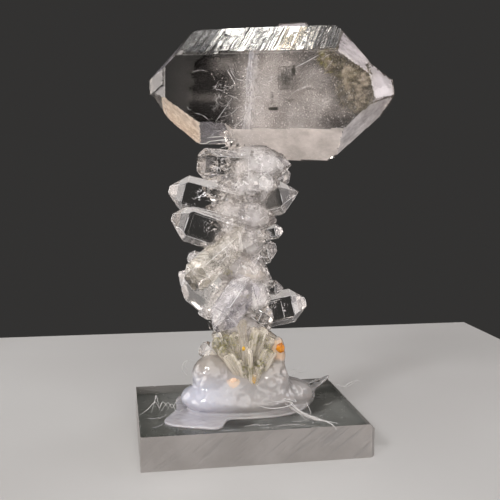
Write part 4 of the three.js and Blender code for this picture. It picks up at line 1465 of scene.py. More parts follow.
def fillDarkSpots():
    chance = np.random.default_rng(31)
    points, sizes = [], []
    for middle, half, count, size in darkSpots:
        points.append(scattered(middle, half, count, 1.7, 0.55, chance))
        sizes.append(size * chance.uniform(0.5, 1.2, count))
    points.append(chance.uniform(looseGrains["low"], looseGrains["high"], (looseGrains["count"], 3)))
    sizes.append(chance.uniform(*looseGrains["size"], looseGrains["count"]))
    points, sizes = fromHead(np.vstack(points)), np.concatenate(sizes)
    kept = insideQuartz(points, 0.1)
    areas = whiteFlecks["areas"]
    flecks = fromHead(np.vstack([chance.uniform(low, high, (count, 3)) for low, high, count in areas]))
    flecks = flecks[insideQuartz(flecks, 0.15)]
    sprinkle("whiteFlecks", flecks, chance.uniform(*whiteFlecks["size"], len(flecks)),
             whiteFlecks["flatness"],
             milkFinish("whiteFleck", (0.97, 0.95, 0.94), (0.84, 0.80, 0.79), 0.3), 33)
    sprinkle("darkGrains", points[kept], sizes[kept], 0.6,
             mossFinish("darkGrain", (0.10, 0.095, 0.08), (0.03, 0.03, 0.028)), 32)


fillDarkSpots()


# bright curved scratches inside, like fine hairs
hairlines = [      # head frame, mm; path, radius
    ([(5.6, -4.8, 2.2), (7.0, -5.0, 2.8), (8.6, -5.0, 3.6), (10.4, -4.8, 4.6)], 0.065),
    ([(11.0, -4.8, 2.0), (11.6, -4.7, 2.7), (12.0, -4.6, 3.4)], 0.05),
    ([(10.4, -4.8, 3.4), (10.8, -4.7, 3.9), (11.5, -4.6, 4.3)], 0.045),
    ([(14.4, -4.6, -8.2), (15.2, -4.6, -7.0), (15.9, -4.5, -5.6)], 0.045),
    ([(12.6, -4.2, -8.8), (13.4, -4.2, -7.8), (14.6, -4.2, -7.2)], 0.04),
    ([(-6.4, -4.6, 2.4), (-5.4, -4.6, 0.8), (-4.6, -4.6, -0.6)], 0.07),
    ([(-5.6, -4.6, 2.0), (-4.6, -4.6, 0.6), (-3.2, -4.6, 0.2)], 0.055),
    ([(-8.4, -4.6, -0.4), (-8.0, -4.5, -1.6), (-7.2, -4.4, -3.0)], 0.045),
    ([(-5.2, -4.4, -2.4), (-6.6, -4.4, -4.4), (-8.6, -4.2, -7.0)], 0.055),
    ([(-4.0, -4.4, -4.0), (-5.6, -4.4, -5.4), (-7.8, -4.4, -6.0)], 0.045),
    ([(-12.0, -4.4, -5.2), (-10.6, -4.4, -5.6), (-9.4, -4.4, -6.6)], 0.05),
    ([(-13.6, -4.2, -4.0), (-13.2, -4.2, -4.6), (-12.6, -4.2, -4.4)], 0.04),
    ([(-3.4, -4.0, -6.2), (-4.8, -4.0, -7.6), (-6.0, -3.8, -8.6)], 0.045),
    ([(-9.6, -3.6, -9.0), (-7.6, -3.6, -7.8), (-5.8, -3.6, -6.2)], 0.05),
    ([(5.0, -4.4, -2.2), (6.6, -4.4, -1.2), (8.4, -4.4, -0.8)], 0.05),
    ([(4.2, -4.4, -6.2), (5.8, -4.4, -5.4), (7.2, -4.4, -5.8)], 0.04),
    ([(8.6, -4.4, -2.8), (10.2, -4.4, -3.1), (11.8, -4.4, -2.8)], 0.035),
    ([(-12.6, -4.4, 1.8), (-11.2, -4.4, 2.2), (-9.8, -4.3, 1.9)], 0.035),
    ([(3.4, -4.2, -9.0), (5.2, -4.2, -8.4), (6.8, -4.2, -8.7)], 0.035),
]
hairShare = 0.62           # how much of its radius a hairline is drawn with
ledgeHighlights = [      # painted highlights: bright lines along the two rims of the ledge low on the left, where the rims catch the light
    ([(-10.91, -1.64, -9.2), (-9.36, -1.79, -9.12), (-8.01, -1.94, -9.04), (-6.25, -2.31, -9.0)], 0.12),
    ([(-12.8, 0.15, -10.25), (-11.65, 0.1, -10.25), (-10.7, -0.46, -9.9), (-9.29, -0.76, -9.75),
      (-6.4, -2.0, -9.8)], 0.15),
]
curls = [       # short curling lines inside: count, least and most of the start (mm), lengths, radii
    {"count": 110, "low": (-3.0, -7.0, 53.5), "high": (16.5, 2.0, 67.0), "long": (0.7, 2.4),
     "thick": (0.015, 0.035)},
    {"count": 90, "low": (-7.5, -3.0, 55.0), "high": (0.5, 3.5, 64.0), "long": (0.6, 2.6),
     "thick": (0.012, 0.032)},
    {"count": 190, "low": (-6.5, -6.0, 14.0), "high": (4.0, -0.5, 54.0), "long": (0.6, 2.2),
     "thick": (0.02, 0.045)},
]


def drawCurls():
    chance = np.random.default_rng(64)
    paths, radii = [], []
    for spec in curls:
        for _ in range(spec["count"]):
            spot = chance.uniform(spec["low"], spec["high"])
            lean, bend = chance.normal(0, 0.5), chance.uniform(-0.7, 0.7)
            step = chance.uniform(*spec["long"]) / 3
            path = [spot]
            for turn in range(3):
                angle = lean + bend * turn
                way = math.cos(angle), chance.uniform(-0.3, 0.3), math.sin(angle)
                path.append(path[-1] + step * np.array(way))
            if insideQuartz(np.array(path), 0.12).all():
                paths.append(path)
                radii.append(chance.uniform(*spec["thick"]))
    return paths, radii


def tubeMesh(paths, radii, cells=6, steps=8):
    vertices, faces = [], []
    for path, radius in zip(paths, radii):
        points = spline(np.array(path, float), steps)
        tangents = np.gradient(points, axis=0)
        tangents /= np.linalg.norm(tangents, axis=1)[:, None]
        side = np.cross(tangents[0], (0.3, 0.2, 1.0))
        start = len(vertices)
        for index, (point, tangent) in enumerate(zip(points, tangents)):
            side = side - tangent * (side @ tangent)
            side /= np.linalg.norm(side)
            other = np.cross(tangent, side)
            taper = radius * min(1.0, 0.35 + 1.4 * min(index, len(points) - 1 - index) / len(points) * 2)
            for k in range(cells):
                turn = 2 * math.pi * k / cells
                vertices.append(point + taper * (math.cos(turn) * side + math.sin(turn) * other))
        for index in range(len(points) - 1):
            for k in range(cells):
                a, b = start + index * cells + k, start + index * cells + (k + 1) % cells
                faces.append((a, b, b + cells, a + cells))
        faces.append(tuple(start + k for k in reversed(range(cells))))
        last = start + (len(points) - 1) * cells
        faces.append(tuple(last + k for k in range(cells)))
    return np.array(vertices), faces


def spline(points, steps):
    padded = np.vstack([2 * points[0] - points[1], points, 2 * points[-1] - points[-2]])
    made = []
    for index in range(1, len(padded) - 2):
        a, b, c, d = padded[index - 1:index + 3]
        for t in np.linspace(0, 1, steps, endpoint=False):
            made.append(0.5 * (2 * b + (c - a) * t + (2 * a - 5 * b + 4 * c - d) * t ** 2
                               + (3 * b - a - 3 * c + d) * t ** 3))
    made.append(points[-1])
    return np.array(made)


def brokenFinish(name, light, dark, roughness, pattern):      # a bright line that comes and goes
    material = milkFinish(name, light, dark, roughness)
    tree = material.node_tree
    feed(shaderOf(material), "Alpha", patchNode(tree, objectCoords(tree), *pattern))
    return material


def fillHairlines():
    paths, radii = drawCurls()
    vertices, faces = tubeMesh([fromHead(path) for path, radius in hairlines] + paths,
                               [radius * hairShare for path, radius in hairlines] + radii)
    glossy = brokenFinish("brightHairline", (0.97, 0.97, 0.98), (0.8, 0.8, 0.82), 0.25,
                          (900, 4, 0.7, 0.34, 0.56))
    closedMesh("brightHairlines", vertices * mm, faces, glossy, True)
    # painted highlights along the ledge rims
    paths, radii = zip(*ledgeHighlights)
    vertices, faces = tubeMesh([fromHead(path) for path in paths], radii)
    bright = milkFinish("ledgeHighlight", (0.98, 0.98, 0.97), (0.9, 0.9, 0.88), 0.2)
    closedMesh("ledgeHighlights", vertices * mm, faces, bright, True)


fillHairlines()


# Milky core of the stem: clouded cores and blades, splinters, flecks and grains
stemCore = {
    "light": [(0.84, 0.82, 0.82), (0.84, 0.82, 0.87)], "shade": [(0.58, 0.55, 0.52), (0.62, 0.60, 0.64)],
    "shrink": (1.0, 2.1), "specks": 15000, "sparkles": 1300, "clearTip": 0.58,
    "shortTip": (10, 0.24),       # which side crystal stays clear over less of its length, and over how much
    # crystals with a cloud of their own: kind, which, margin, light, shade, cover, coarse, crackled
    "bodies": {
        "milkyPrism": ("core", 8, 0.16, (0.56, 0.51, 0.46), (0.45, 0.405, 0.36), 0.72, 170, 0.05),
        "amberOval": ("side", 6, 0.45, (0.66, 0.61, 0.50), (0.46, 0.41, 0.31), 0.22, 170, 0.05),
        "lavenderProp": ("side", 7, 0.25, (0.62, 0.60, 0.66), (0.40, 0.385, 0.43), 0.34, 240, 0.12),
    },
    "clearings": [((-9.0, -3.5, 26.8), (4.4, 4.5, 5.0)), ((-4.6, -4.6, 23.6), (3.0, 2.5, 3.6)),
                  ((0.4, -3.6, 28.4), (3.4, 2.4, 5.2))],
    "sides": (-5.2, 4.6),
    "axis": [(-1.0, 0, 12), (-1.2, 0, 24), (-1.6, 0, 34), (-1.4, 0, 46), (-0.6, 0, 54)],
    "splinters": [     # name, count, sizes, flatness, light, dark, cover, roughness, metallic
        ("splinterMilk", 1100, (0.22, 0.85), 0.10, (0.90, 0.87, 0.86), (0.60, 0.56, 0.52), 0.55, 0.35, 0.0),
        ("splinterBright", 700, (0.12, 0.50), 0.07, (0.97, 0.97, 1.0), (0.86, 0.87, 0.92), 0.85, 0.14, 0.85),
        ("splinterDark", 240, (0.20, 0.75), 0.10, (0.20, 0.18, 0.16), (0.07, 0.065, 0.06), 0.50, 0.2, 0.0),
    ],
}


def cloudedFinish(name, light, shade, cover, coarse, streaked=False, crackled=0.34):
    material, tree, shader, place = newMaterial(name)
    if streaked:
        flow = placeGroup(tree, "stria").outputs["Streaks"]
    else:
        flow = noiseNode(tree, place, coarse, 3, 0.56)
    soft = rampNode(tree, flow, 0.32, 0.68)
    lines = placeGroup(tree, "crackle", Size=coarse * 2.2).outputs["Lines"]
    tone = mixColour(tree, soft, shade, light)
    if crackled:
        tone = mixColour(tree, lines, tone, (0.97, 0.96, 0.97))
    feed(shader, "Base Color", tone)
    setPlain(shader, {"Roughness": 0.4})
    body = mathNode(tree, "MULTIPLY_ADD", soft, 0.6 * cover, 0.4 * cover)
    feedAlpha(tree, shader, mathNode(tree, "MULTIPLY_ADD", lines, crackled, body, clamp=True))
    return material


def cloudInside(name, kind, shrink, material, clearTip=0.0):     # a clouded body in each crystal of a kind
    builder = bmesh.new()
    thin = builder.verts.layers.float.new("veil")
    axisLayer = builder.faces.layers.float_vector.new("crystalAxis")
    lined = builder.faces.layers.float.new("striation")
    for crystal in ofKind(kind):
        faces = [(normal, distance - shrink) for normal, distance in crystal["faces"]]
        clear = crystal.get("clear", clearTip) * crystal["length"]
        if clear:
            faces.append((np.array([1.0, 0, 0]), -clear))
        normals, distances = planesOf(faces)
        try:
            corners = cornersOf(normals, distances)
        except np.linalg.LinAlgError:
            continue
        if len(corners) < 4 or (kind != "core" and np.ptp(corners, axis=0).min() < 0.15):
            continue
        if kind == "core" and (distances <= 0.2).any():
            continue
        verts = [builder.verts.new((crystal["matrix"] @ Vector(corner)) * mm) for corner in corners]
        for vert, corner in zip(verts, corners):
            faded = clear and corner[0] > -clear - 0.01
            vert[thin] = 0.0 if faded else 1.0
        made = bmesh.ops.convex_hull(builder, input=verts)
        axis = crystal["matrix"].to_3x3() @ Vector((1, 0, 0))
        for item in made["geom"]:
            if isinstance(item, bmesh.types.BMFace):
                item[axisLayer], item[lined] = axis, 1.0
    loose = [v for v in builder.verts if not v.link_faces]
    bmesh.ops.delete(builder, geom=loose, context="VERTS")
    bmesh.ops.recalc_face_normals(builder, faces=builder.faces[:])
    body = meshObject(name, builder)
    body.data.materials.append(material)
    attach(body, "root")


def splinters():
    for seed, spec in enumerate(stemCore["splinters"]):
        name, count, size, flatness, light, dark, cover, rough, metal = spec
        chance = np.random.default_rng(90 + seed)
        near = stemCloud(count // 3, 2.6, 21, 56, 91 + seed)
        points = np.vstack([near, stemCloud(count, 4.0, 21, 55, 95 + seed)])
        finish = cloudedFinish(name, light, dark, cover, 600, crackled=0.0)
        setPlain(shaderOf(finish), {"Roughness": rough, "Metallic": metal})
        made = sprinkle(name, points, chance.uniform(*size, len(points)), flatness, finish, 97 + seed)
        addLayer(made.data, "veil", np.ones(len(made.data.vertices)))


def stemCloud(count, spread, low, high, seed):
    chance = np.random.default_rng(seed)
    axis = np.array(stemCore["axis"])
    height = chance.uniform(low, high, count)
    middle = np.stack([np.interp(height, axis[:, 2], axis[:, k]) for k in range(2)] + [height], axis=1)
    around = chance.normal(size=(count, 2)) * spread
    least, most = (limit + chance.normal(0, 0.5, count) for limit in stemCore["sides"])
    around[:, 0] = np.clip(around[:, 0], least, most)
    middle[:, :2] += around
    thinned = lobeWeight(middle, [(*place, 0.9) for place in stemCore["clearings"]])
    return middle[insideQuartz(middle, 0.15) & (chance.uniform(size=count) > thinned)]


def fillStem():
    chance = np.random.default_rng(51)
    for step, shrink in enumerate(stemCore["shrink"]):
        name = "milkyCore%d" % step
        milky = cloudedFinish(name, stemCore["light"][step], stemCore["shade"][step], 0.48, 300)
        cloudInside(name, "core", shrink, milky)
    ofKind("side")[stemCore["shortTip"][0]]["clear"] = stemCore["shortTip"][1]
    chosen = [ofKind(look[0])[look[1]] for look in stemCore["bodies"].values()]
    for crystal, (name, look) in zip(chosen, stemCore["bodies"].items()):
        crystal["kind"] = name
        cloudInside(name, name, look[2], cloudedFinish(name, *look[3:7], crackled=look[7]), 0.08)
    streaky = cloudedFinish("milkyBlade", (0.78, 0.725, 0.63), (0.62, 0.56, 0.455), 0.50, 500, True, 0.0)
    cloudInside("milkyBlades", "blade", 0.12, streaky)
    milky = cloudedFinish("milkyRoot", (0.82, 0.79, 0.77), (0.58, 0.54, 0.50), 0.40, 280)
    cloudInside("milkyRoots", "side", 0.28, milky, stemCore["clearTip"])
    splinters()
    half = stemCore["specks"] // 2
    points = np.vstack([stemCloud(half, 2.1, 21, 56, 52), stemCloud(half, 3.8, 20, 54, 53)])
    patchy = smoothNoise(points, 0.35, 9)
    points = points[chance.uniform(size=len(points)) < 0.25 + 0.9 * patchy]
    sprinkle("stemSpecks", points, chance.uniform(0.02, 0.06, len(points)), 0.5,
             milkFinish("stemSpeck", (0.88, 0.86, 0.84), (0.66, 0.62, 0.57)), 54)
    bright = stemCloud(stemCore["sparkles"], 3.0, 16, 56, 55)
    glint = milkFinish("glint", (0.96, 0.97, 1.0), (0.9, 0.92, 0.97), 0.12)
    setPlain(shaderOf(glint), {"Metallic": 0.9})
    sprinkle("glints", bright, chance.uniform(0.06, 0.22, len(bright)), 0.12, glint, 56)
    print("stage: stem filled,", len(points), "specks")


fillStem()


# painted highlights: bright broken lines just under the forward edges of the stem's side crystals, standing
# in for the glints their edges catch
edgeHighlight = {"depth": 0.045, "radius": (0.022, 0.05), "shortest": 0.3,
            "kinds": ("side", "amberOval", "lavenderProp")}


def fillEdges():
    chance = np.random.default_rng(44)
    paths, radii = [], []
    for crystal in ofKind(*edgeHighlight["kinds"]):
        normals, distances = planesOf(crystal["faces"])
        distances -= edgeHighlight["depth"]
        corners = cornersOf(normals, distances)
        touching = np.abs(corners @ normals.T - distances) < 1e-3
        turned = np.array(crystal["matrix"])
        ahead = (normals @ turned[:3, :3].T)[:, 1] < -0.1
        for a in range(len(corners)):
            for b in range(a):
                shared = touching[a] & touching[b]
                short = np.linalg.norm(corners[a] - corners[b]) < edgeHighlight["shortest"]
                if shared.sum() < 2 or not ahead[shared].any() or short:
                    continue
                line = corners[a] + np.linspace(0, 1, 9)[:, None] * (corners[b] - corners[a])
                out = normals[shared].sum(axis=0)
                lifted = moved(line + 0.14 * out / np.linalg.norm(out), turned)
                free = np.flatnonzero(~insideQuartz(lifted, 0.0))
                if len(free) > 2:
                    paths.append(moved(line, turned)[free[0]:free[-1] + 1:2])
                    radii.append(chance.uniform(*edgeHighlight["radius"]))
    kept = [(path, radius) for path, radius in zip(paths, radii) if len(path) > 1]
    vertices, faces = tubeMesh(*zip(*kept), cells=5, steps=2)
    finish = brokenFinish("edgeHighlight", (0.98, 0.98, 0.99), (0.86, 0.86, 0.88), 0.2, (420, 4, 0.65, 0.40, 0.58))
    closedMesh("edgeHighlights", vertices * mm, faces, finish, True)
    print("stage: edge lines,", len(kept))


fillEdges()


# olive moss grains low in the stem and under the head (mm; middle, half sizes, count)
stemMoss = [
    ((-2.9, -4.4, 48.6), (0.5, 0.6, 1.0), 240), ((-8.3, -4.2, 49.9), (0.9, 0.5, 0.6), 260),
    ((-3.2, -4.6, 46.9), (1.3, 0.8, 0.5), 420),
    ((-4.6, -4.0, 19.2), (2.2, 1.2, 1.2), 1300),
    ((-6.2, -3.2, 18.4), (1.0, 0.8, 1.2), 700),
    ((0.6, -5.0, 14.2), (3.0, 0.8, 2.6), 520),
    ((-0.8, -3.6, 22.0), (0.7, 0.5, 1.2), 260),
    ((1.6, -3.4, 19.6), (1.0, 0.6, 1.2), 300),
    ((1.6, -3.0, 16.2), (2.0, 0.8, 1.4), 300),
    ((-2.0, -3.2, 15.0), (0.8, 0.6, 1.2), 220),
    ((-2.4, -3.4, 12.6), (0.5, 0.4, 0.6), 160),
    ((-1.2, -3.0, 27.2), (1.4, 0.5, 0.35), 150),
    ((-4.4, -2.8, 31.4), (0.9, 0.5, 0.4), 120),
]
bladeMoss = [       # where moss has crept over the blades: middle, half sizes (mm), density
    ((-5.0, -4.0, 18.9), (2.2, 3.0, 1.9), 1.0), ((0.9, -4.6, 19.2), (1.3, 2.5, 1.3), 0.8),
    ((3.1, -4.2, 17.8), (0.9, 2.5, 1.6), 0.6), ((-1.0, -5.4, 14.4), (1.0, 2.5, 1.5), 0.8),
    ((1.4, -5.4, 15.4), (1.4, 2.5, 1.8), 0.55), ((-2.6, -4.4, 16.6), (1.2, 2.0, 1.4), 0.3),
]


def bladeGrains(chance):       # points just under the faces of the blades
    found = []
    for crystal in ofKind("blade"):
        normals, distances = planesOf(crystal["faces"])
        corners = cornersOf(normals, distances)
        points = chance.uniform(corners.min(axis=0), corners.max(axis=0), (15000, 3))
        room = distances - points @ normals.T
        points, room = points[(room > 0).all(axis=1)], room[(room > 0).all(axis=1)]
        lift = room.min(axis=1) - chance.uniform(0.03, 0.09, len(points))
        points += normals[room.argmin(axis=1)] * lift[:, None]
        found.append(moved(points, crystal["matrix"]))
    found = np.vstack(found)
    clumped = smoothNoise(found, 1.5, 74)
    chosen = chance.uniform(size=len(found)) < lobeWeight(found, bladeMoss)
    return found[(clumped > np.quantile(clumped, 0.6)) & chosen]


def fillStemMoss():
    chance = np.random.default_rng(71)
    points = np.vstack([
        scattered(middle, half, count, 1.8, 0.6, chance) for middle, half, count in stemMoss
    ])
    points = np.vstack([points[insideQuartz(points, 0.05)], bladeGrains(chance)])
    dark = smoothNoise(points, 2.2, 75) + chance.normal(0, 0.06, len(points)) > 0.31
    print("stage: stem moss,", len(points), "grains")
    sprinkle("stemMossOlive", points[~dark], chance.uniform(0.05, 0.13, (~dark).sum()), 0.5,
             mossFinish("stemMossOlive", (0.38, 0.35, 0.15), (0.20, 0.19, 0.08)), 72)
    sprinkle("stemMossDark", points[dark], chance.uniform(0.05, 0.14, dark.sum()), 0.5,
             mossFinish("stemMossDark", (0.10, 0.11, 0.05), (0.04, 0.045, 0.02)), 73)


fillStemMoss()


# rust-coloured stains caught between crystals and glue (mm; middle, half sizes)
rust = {
    "lumps": [
        ((5.15, -4.15, 17.5), (0.75, 0.45, 1.0), "orange"),
        ((-1.6, -4.5, 17.8), (0.3, 0.25, 0.45), "amber"),
        ((0.1, -5.6, 12.4), (0.35, 0.25, 0.75), "amber"),
        ((-3.6, -5.7, 12.4), (0.6, 0.3, 0.5), "peach"),
        ((4.9, -4.0, 16.0), (0.7, 0.35, 0.5), "peach"),
    ],
    "orange": ((0.78, 0.29, 0.012), (0.30, 0.085, 0.006)),
    "amber": ((0.80, 0.47, 0.03), (0.36, 0.20, 0.03)),
    "peach": ((0.86, 0.62, 0.45), (0.72, 0.48, 0.32)),
}


def fillRust():
    for index, (middle, half, tint) in enumerate(rust["lumps"]):
        builder = bmesh.new()
        bmesh.ops.create_icosphere(builder, subdivisions=4, radius=1)
        for vertex in builder.verts:
            lump = 1 + 0.24 * (noise.fractal(vertex.co * 1.6 + Vector((index * 7, 1, 2)), 0.8, 2.0, 4) - 0.2)
            vertex.co = Vector([m + h * c * lump for m, h, c in zip(middle, half, vertex.co)]) * mm
        lump = meshObject("rustStain%d" % index, builder)
        light, dark = rust[tint]
        stain = mossFinish("rust_" + tint, light, dark)
        setPlain(shaderOf(stain), {"Roughness": 0.2})
        lump.data.materials.append(stain)
        for polygon in lump.data.polygons:
            polygon.use_smooth = True
        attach(lump, "root")


fillRust()


# Hot-melt glue, poured in overlapping lobes

blockHeight = 6.0
glue = {
    "lobes": [
        ((-0.8, -0.8, 8.2), (10.6, 7.2, 2.8)), ((-7.4, -2.6, 8.7), (4.9, 4.5, 2.5)),
        ((-6.8, -2.2, 12.6), (3.8, 3.7, 3.6)), ((-2.6, -3.2, 10.4), (4.2, 3.6, 2.8)),
        ((3.4, -2.2, 11.0), (3.9, 3.9, 4.0)), ((5.0, -2.4, 15.6), (1.5, 2.2, 3.7)),
        ((6.0, 0.2, 7.6), (6.3, 4.6, 3.2)), ((-4.4, 3.4, 11.0), (4.8, 3.8, 3.5)),
        ((3.0, 3.6, 10.8), (4.8, 3.8, 3.4)),
    ],
    "middle": (-1.0, 0, 8.0), "blend": 2.8, "swell": 0.07, "voxel": 0.17, "under": 5.9, "smooths": 9,
    "waves": ((0.16, 0.28, 3), (0.05, 0.9, 4)), "strandRadius": 0.4, "curl": 0.9, "rayStep": 0.05,
    "foot": [(-15.8, -8.4), (-8.9, -12.1), (-6.5, -11.7), (-4.6, -8.2), (-0.4, -8.3), (4.6, -7.8),
             (9.6, -4.8), (13.9, 3.6), (11.2, 8.2), (3.0, 9.4), (-6.0, 9.2), (-12.4, 5.4), (-13.6, -2.0)],
    "footHeight": 0.5,
    "film": [(4.0, 6.0), (12.2, 3.0), (15.4, 7.4), (19.2, 12.0), (15.6, 11.6), (12.6, 12.8), (7.6, 11.2)],
    "filmHeight": 0.42,
    "strand": [(4.6, -4.6, 8.4), (7.2, -8.2, 7.2), (9.4, -11, 6.7), (12.2, -13.2, 6.5)],
    "stains": (       # peach patches: middle and radius (m), how ragged, tint
        ((0.0052, -0.004, 0.0172), 0.0022, 0.25, (0.88, 0.64, 0.46)),
        ((-0.0036, -0.0062, 0.0124), 0.0012, 0.35, (0.88, 0.68, 0.52)),
    ),
    # small swirls and dimples left as it set, and drops: middle, radius, depth or height
    "dimples": [
        ((-5.0, -6.0, 14.4), 0.9, 0.16), ((-3.4, -6.1, 13.4), 0.6, 0.12), ((5.8, -5.0, 13.4), 0.9, 0.16),
        ((3.2, -6.2, 12.0), 0.8, 0.14), ((1.2, -7.2, 10.8), 0.7, 0.12), ((-9.4, -4.8, 12.6), 1.0, 0.10),
        ((-7.6, -6.4, 9.6), 0.8, 0.08), ((8.2, -3.6, 9.4), 1.2, 0.10), ((-2.2, -7.6, 9.4), 1.1, 0.10),
    ],
    "bumps": [((-5.4, -8.4, 8.9), 0.5, 0.22), ((4.4, -8.0, 8.4), 0.9, 0.16), ((-9.8, -6.4, 8.4), 0.8, 0.14)],
}


def glueField(points):
    total = np.zeros(len(points))
    for middle, half in glue["lobes"]:
        across = np.linalg.norm((points - middle) / np.array(half), axis=1)
        total += np.exp(-glue["blend"] * (across - 1) * min(half))
    return -np.log(np.maximum(total, 1e-300)) / glue["blend"] - glue["swell"]


def glueBody():
    builder = bmesh.new()
    bmesh.ops.create_icosphere(builder, subdivisions=6, radius=1)
    rays = np.array([v.co for v in builder.verts])
    distance = np.full(len(rays), 20.0)
    live = np.ones(len(rays), bool)
    while live.any():
        distance[live] -= glue["rayStep"]
        points = np.array(glue["middle"]) + rays[live] * distance[live, None]
        outside = glueField(points) > 0
        live[np.flatnonzero(live)[~outside]] = False
    points = np.array(glue["middle"]) + rays * distance[:, None]
    points[:, 2] = np.maximum(points[:, 2], glue["under"])
    for vertex, point in zip(builder.verts, points):
        vertex.co = Vector(point)
    return builder


def addSheet(builder, outline, height, lift=0.0):
    ring = np.array([(x, y, 0) for x, y in outline], float)
    closed = np.vstack([ring[-1], ring, ring[0], ring[1]])
    low, high = [], []
    for x, y, _ in spline(closed, 8)[8:-9]:
        raised = lift * max(0.0, (x - 15.0) / 4.2) ** 2       # its right end curls up
        low.append(builder.verts.new((x, y, glue["under"] + raised)))
        high.append(builder.verts.new((x, y, blockHeight + height + raised)))
    count = len(low)
    for index in range(count):
        following = (index + 1) % count
        builder.faces.new((low[index], low[following], high[following], high[index]))
    builder.faces.new(list(reversed(low)))
    builder.faces.new(high)


def addTube(builder, path, radius, cells=8):
    vertices, faces = tubeMesh([path], [radius], cells=cells)
    made = [builder.verts.new(tuple(v)) for v in vertices]
    for face in faces:
        builder.faces.new([made[k] for k in face])


def glueFinish():
    material, tree, shader, place = newMaterial("hotMeltGlue")
    cloudy = patchNode(tree, place, 210, 4, 0.6, 0.3, 0.7)
    left = tree.nodes.new("ShaderNodeSeparateXYZ")
    tree.links.new(place, left.inputs[0])
    base = mixColour(tree, cloudy, (0.555, 0.525, 0.51), (0.61, 0.585, 0.57))
    high = rampNode(tree, left.outputs["Z"], 0.0062, 0.0072)
    violet = mixColour(tree, high, (0.70, 0.66, 0.69), (0.74, 0.75, 0.85))
    cool = mixColour(tree, rampNode(tree, left.outputs["X"], -0.011, 0.0), violet, base)
    warmth = rampNode(tree, left.outputs["Z"], 0.0105, 0.0155)
    warm = mixColour(tree, warmth, cool, (0.50, 0.455, 0.41))
    tinted = warm
    for middle, radius, ragged, tint in glue["stains"]:
        patch = placeGroup(tree, "patch", Middle=middle, Radius=radius, Ragged=ragged)
        tinted = mixColour(tree, patch.outputs[0], tinted, tint)
    feed(shader, "Base Color", tinted)
    feedSmudges(tree, shader, 0.05, 0.10, 260.0)
    bumpInto(tree, shader, noiseNode(tree, place, 420, 3, 0.5), 0.00003, 0.3)
    setPlain(shader, {"IOR": 1.48, "Coat Weight": 0.8, "Coat Roughness": 0.02, "Transmission Weight": 0.35,
                      "Subsurface Weight": 0.5, "Subsurface Radius": (1.0, 0.85, 0.75),
                      "Subsurface Scale": 0.0016})
    return material


def buildGlue():
    builder = glueBody()
    addSheet(builder, glue["foot"], glue["footHeight"])
    addSheet(builder, glue["film"], glue["filmHeight"], lift=glue["curl"])
    addTube(builder, glue["strand"], glue["strandRadius"])
    for vertex in builder.verts:
        vertex.co *= mm
    bmesh.ops.recalc_face_normals(builder, faces=builder.faces[:])
    piece = meshObject("hotMeltMound", builder)
    remesh = piece.modifiers.new("pour", "REMESH")
    remesh.mode = "VOXEL"
    remesh.voxel_size = glue["voxel"] * mm
    soften = piece.modifiers.new("set", "SMOOTH")
    soften.factor, soften.iterations = 0.5, glue["smooths"]
    graph = bpy.context.evaluated_depsgraph_get()
    poured = bpy.data.meshes.new_from_object(piece.evaluated_get(graph))
    piece.modifiers.clear()
    piece.data = poured
    count = len(poured.vertices)
    points, normals = np.empty(count * 3), np.empty(count * 3)
    poured.vertices.foreach_get("co", points)
    poured.vertices.foreach_get("normal", normals)
    points, normals = points.reshape(-1, 3) / mm, normals.reshape(-1, 3)
    shift = sum(high * (smoothNoise(points, scale, seed) - 0.35) for high, scale, seed in glue["waves"])
    for middle, radius, depth in glue["dimples"]:
        apart = np.linalg.norm(points - middle, axis=1) / radius
        shift -= depth * np.exp(-apart ** 2) * 1.3 - depth * np.exp(-((apart - 1.2) / 0.4) ** 2)
    for middle, radius, height in glue["bumps"]:
        apart = np.linalg.norm(points - middle, axis=1) / radius
        shift += height * np.exp(-apart ** 2)
    free = np.clip((points[:, 2] - 6.1) / 0.6, 0, 1)       # no movement where it meets the block
    points = points + normals * (shift * free)[:, None]
    points[:, 2] = np.where(points[:, 2] < 6.12, 6.01, points[:, 2])
    poured.vertices.foreach_set("co", (points * mm).ravel())
    poured.polygons.foreach_set("use_smooth", [True] * len(poured.polygons))
    poured.update()
    poured.materials.clear()
    poured.materials.append(glueFinish())
    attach(piece, "root")
    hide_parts("glue_mound")
    print("stage: glue of", len(poured.polygons), "faces")


buildGlue()


# Fine threads of glue, drawn out as the gun was pulled away (mm; path, radius)

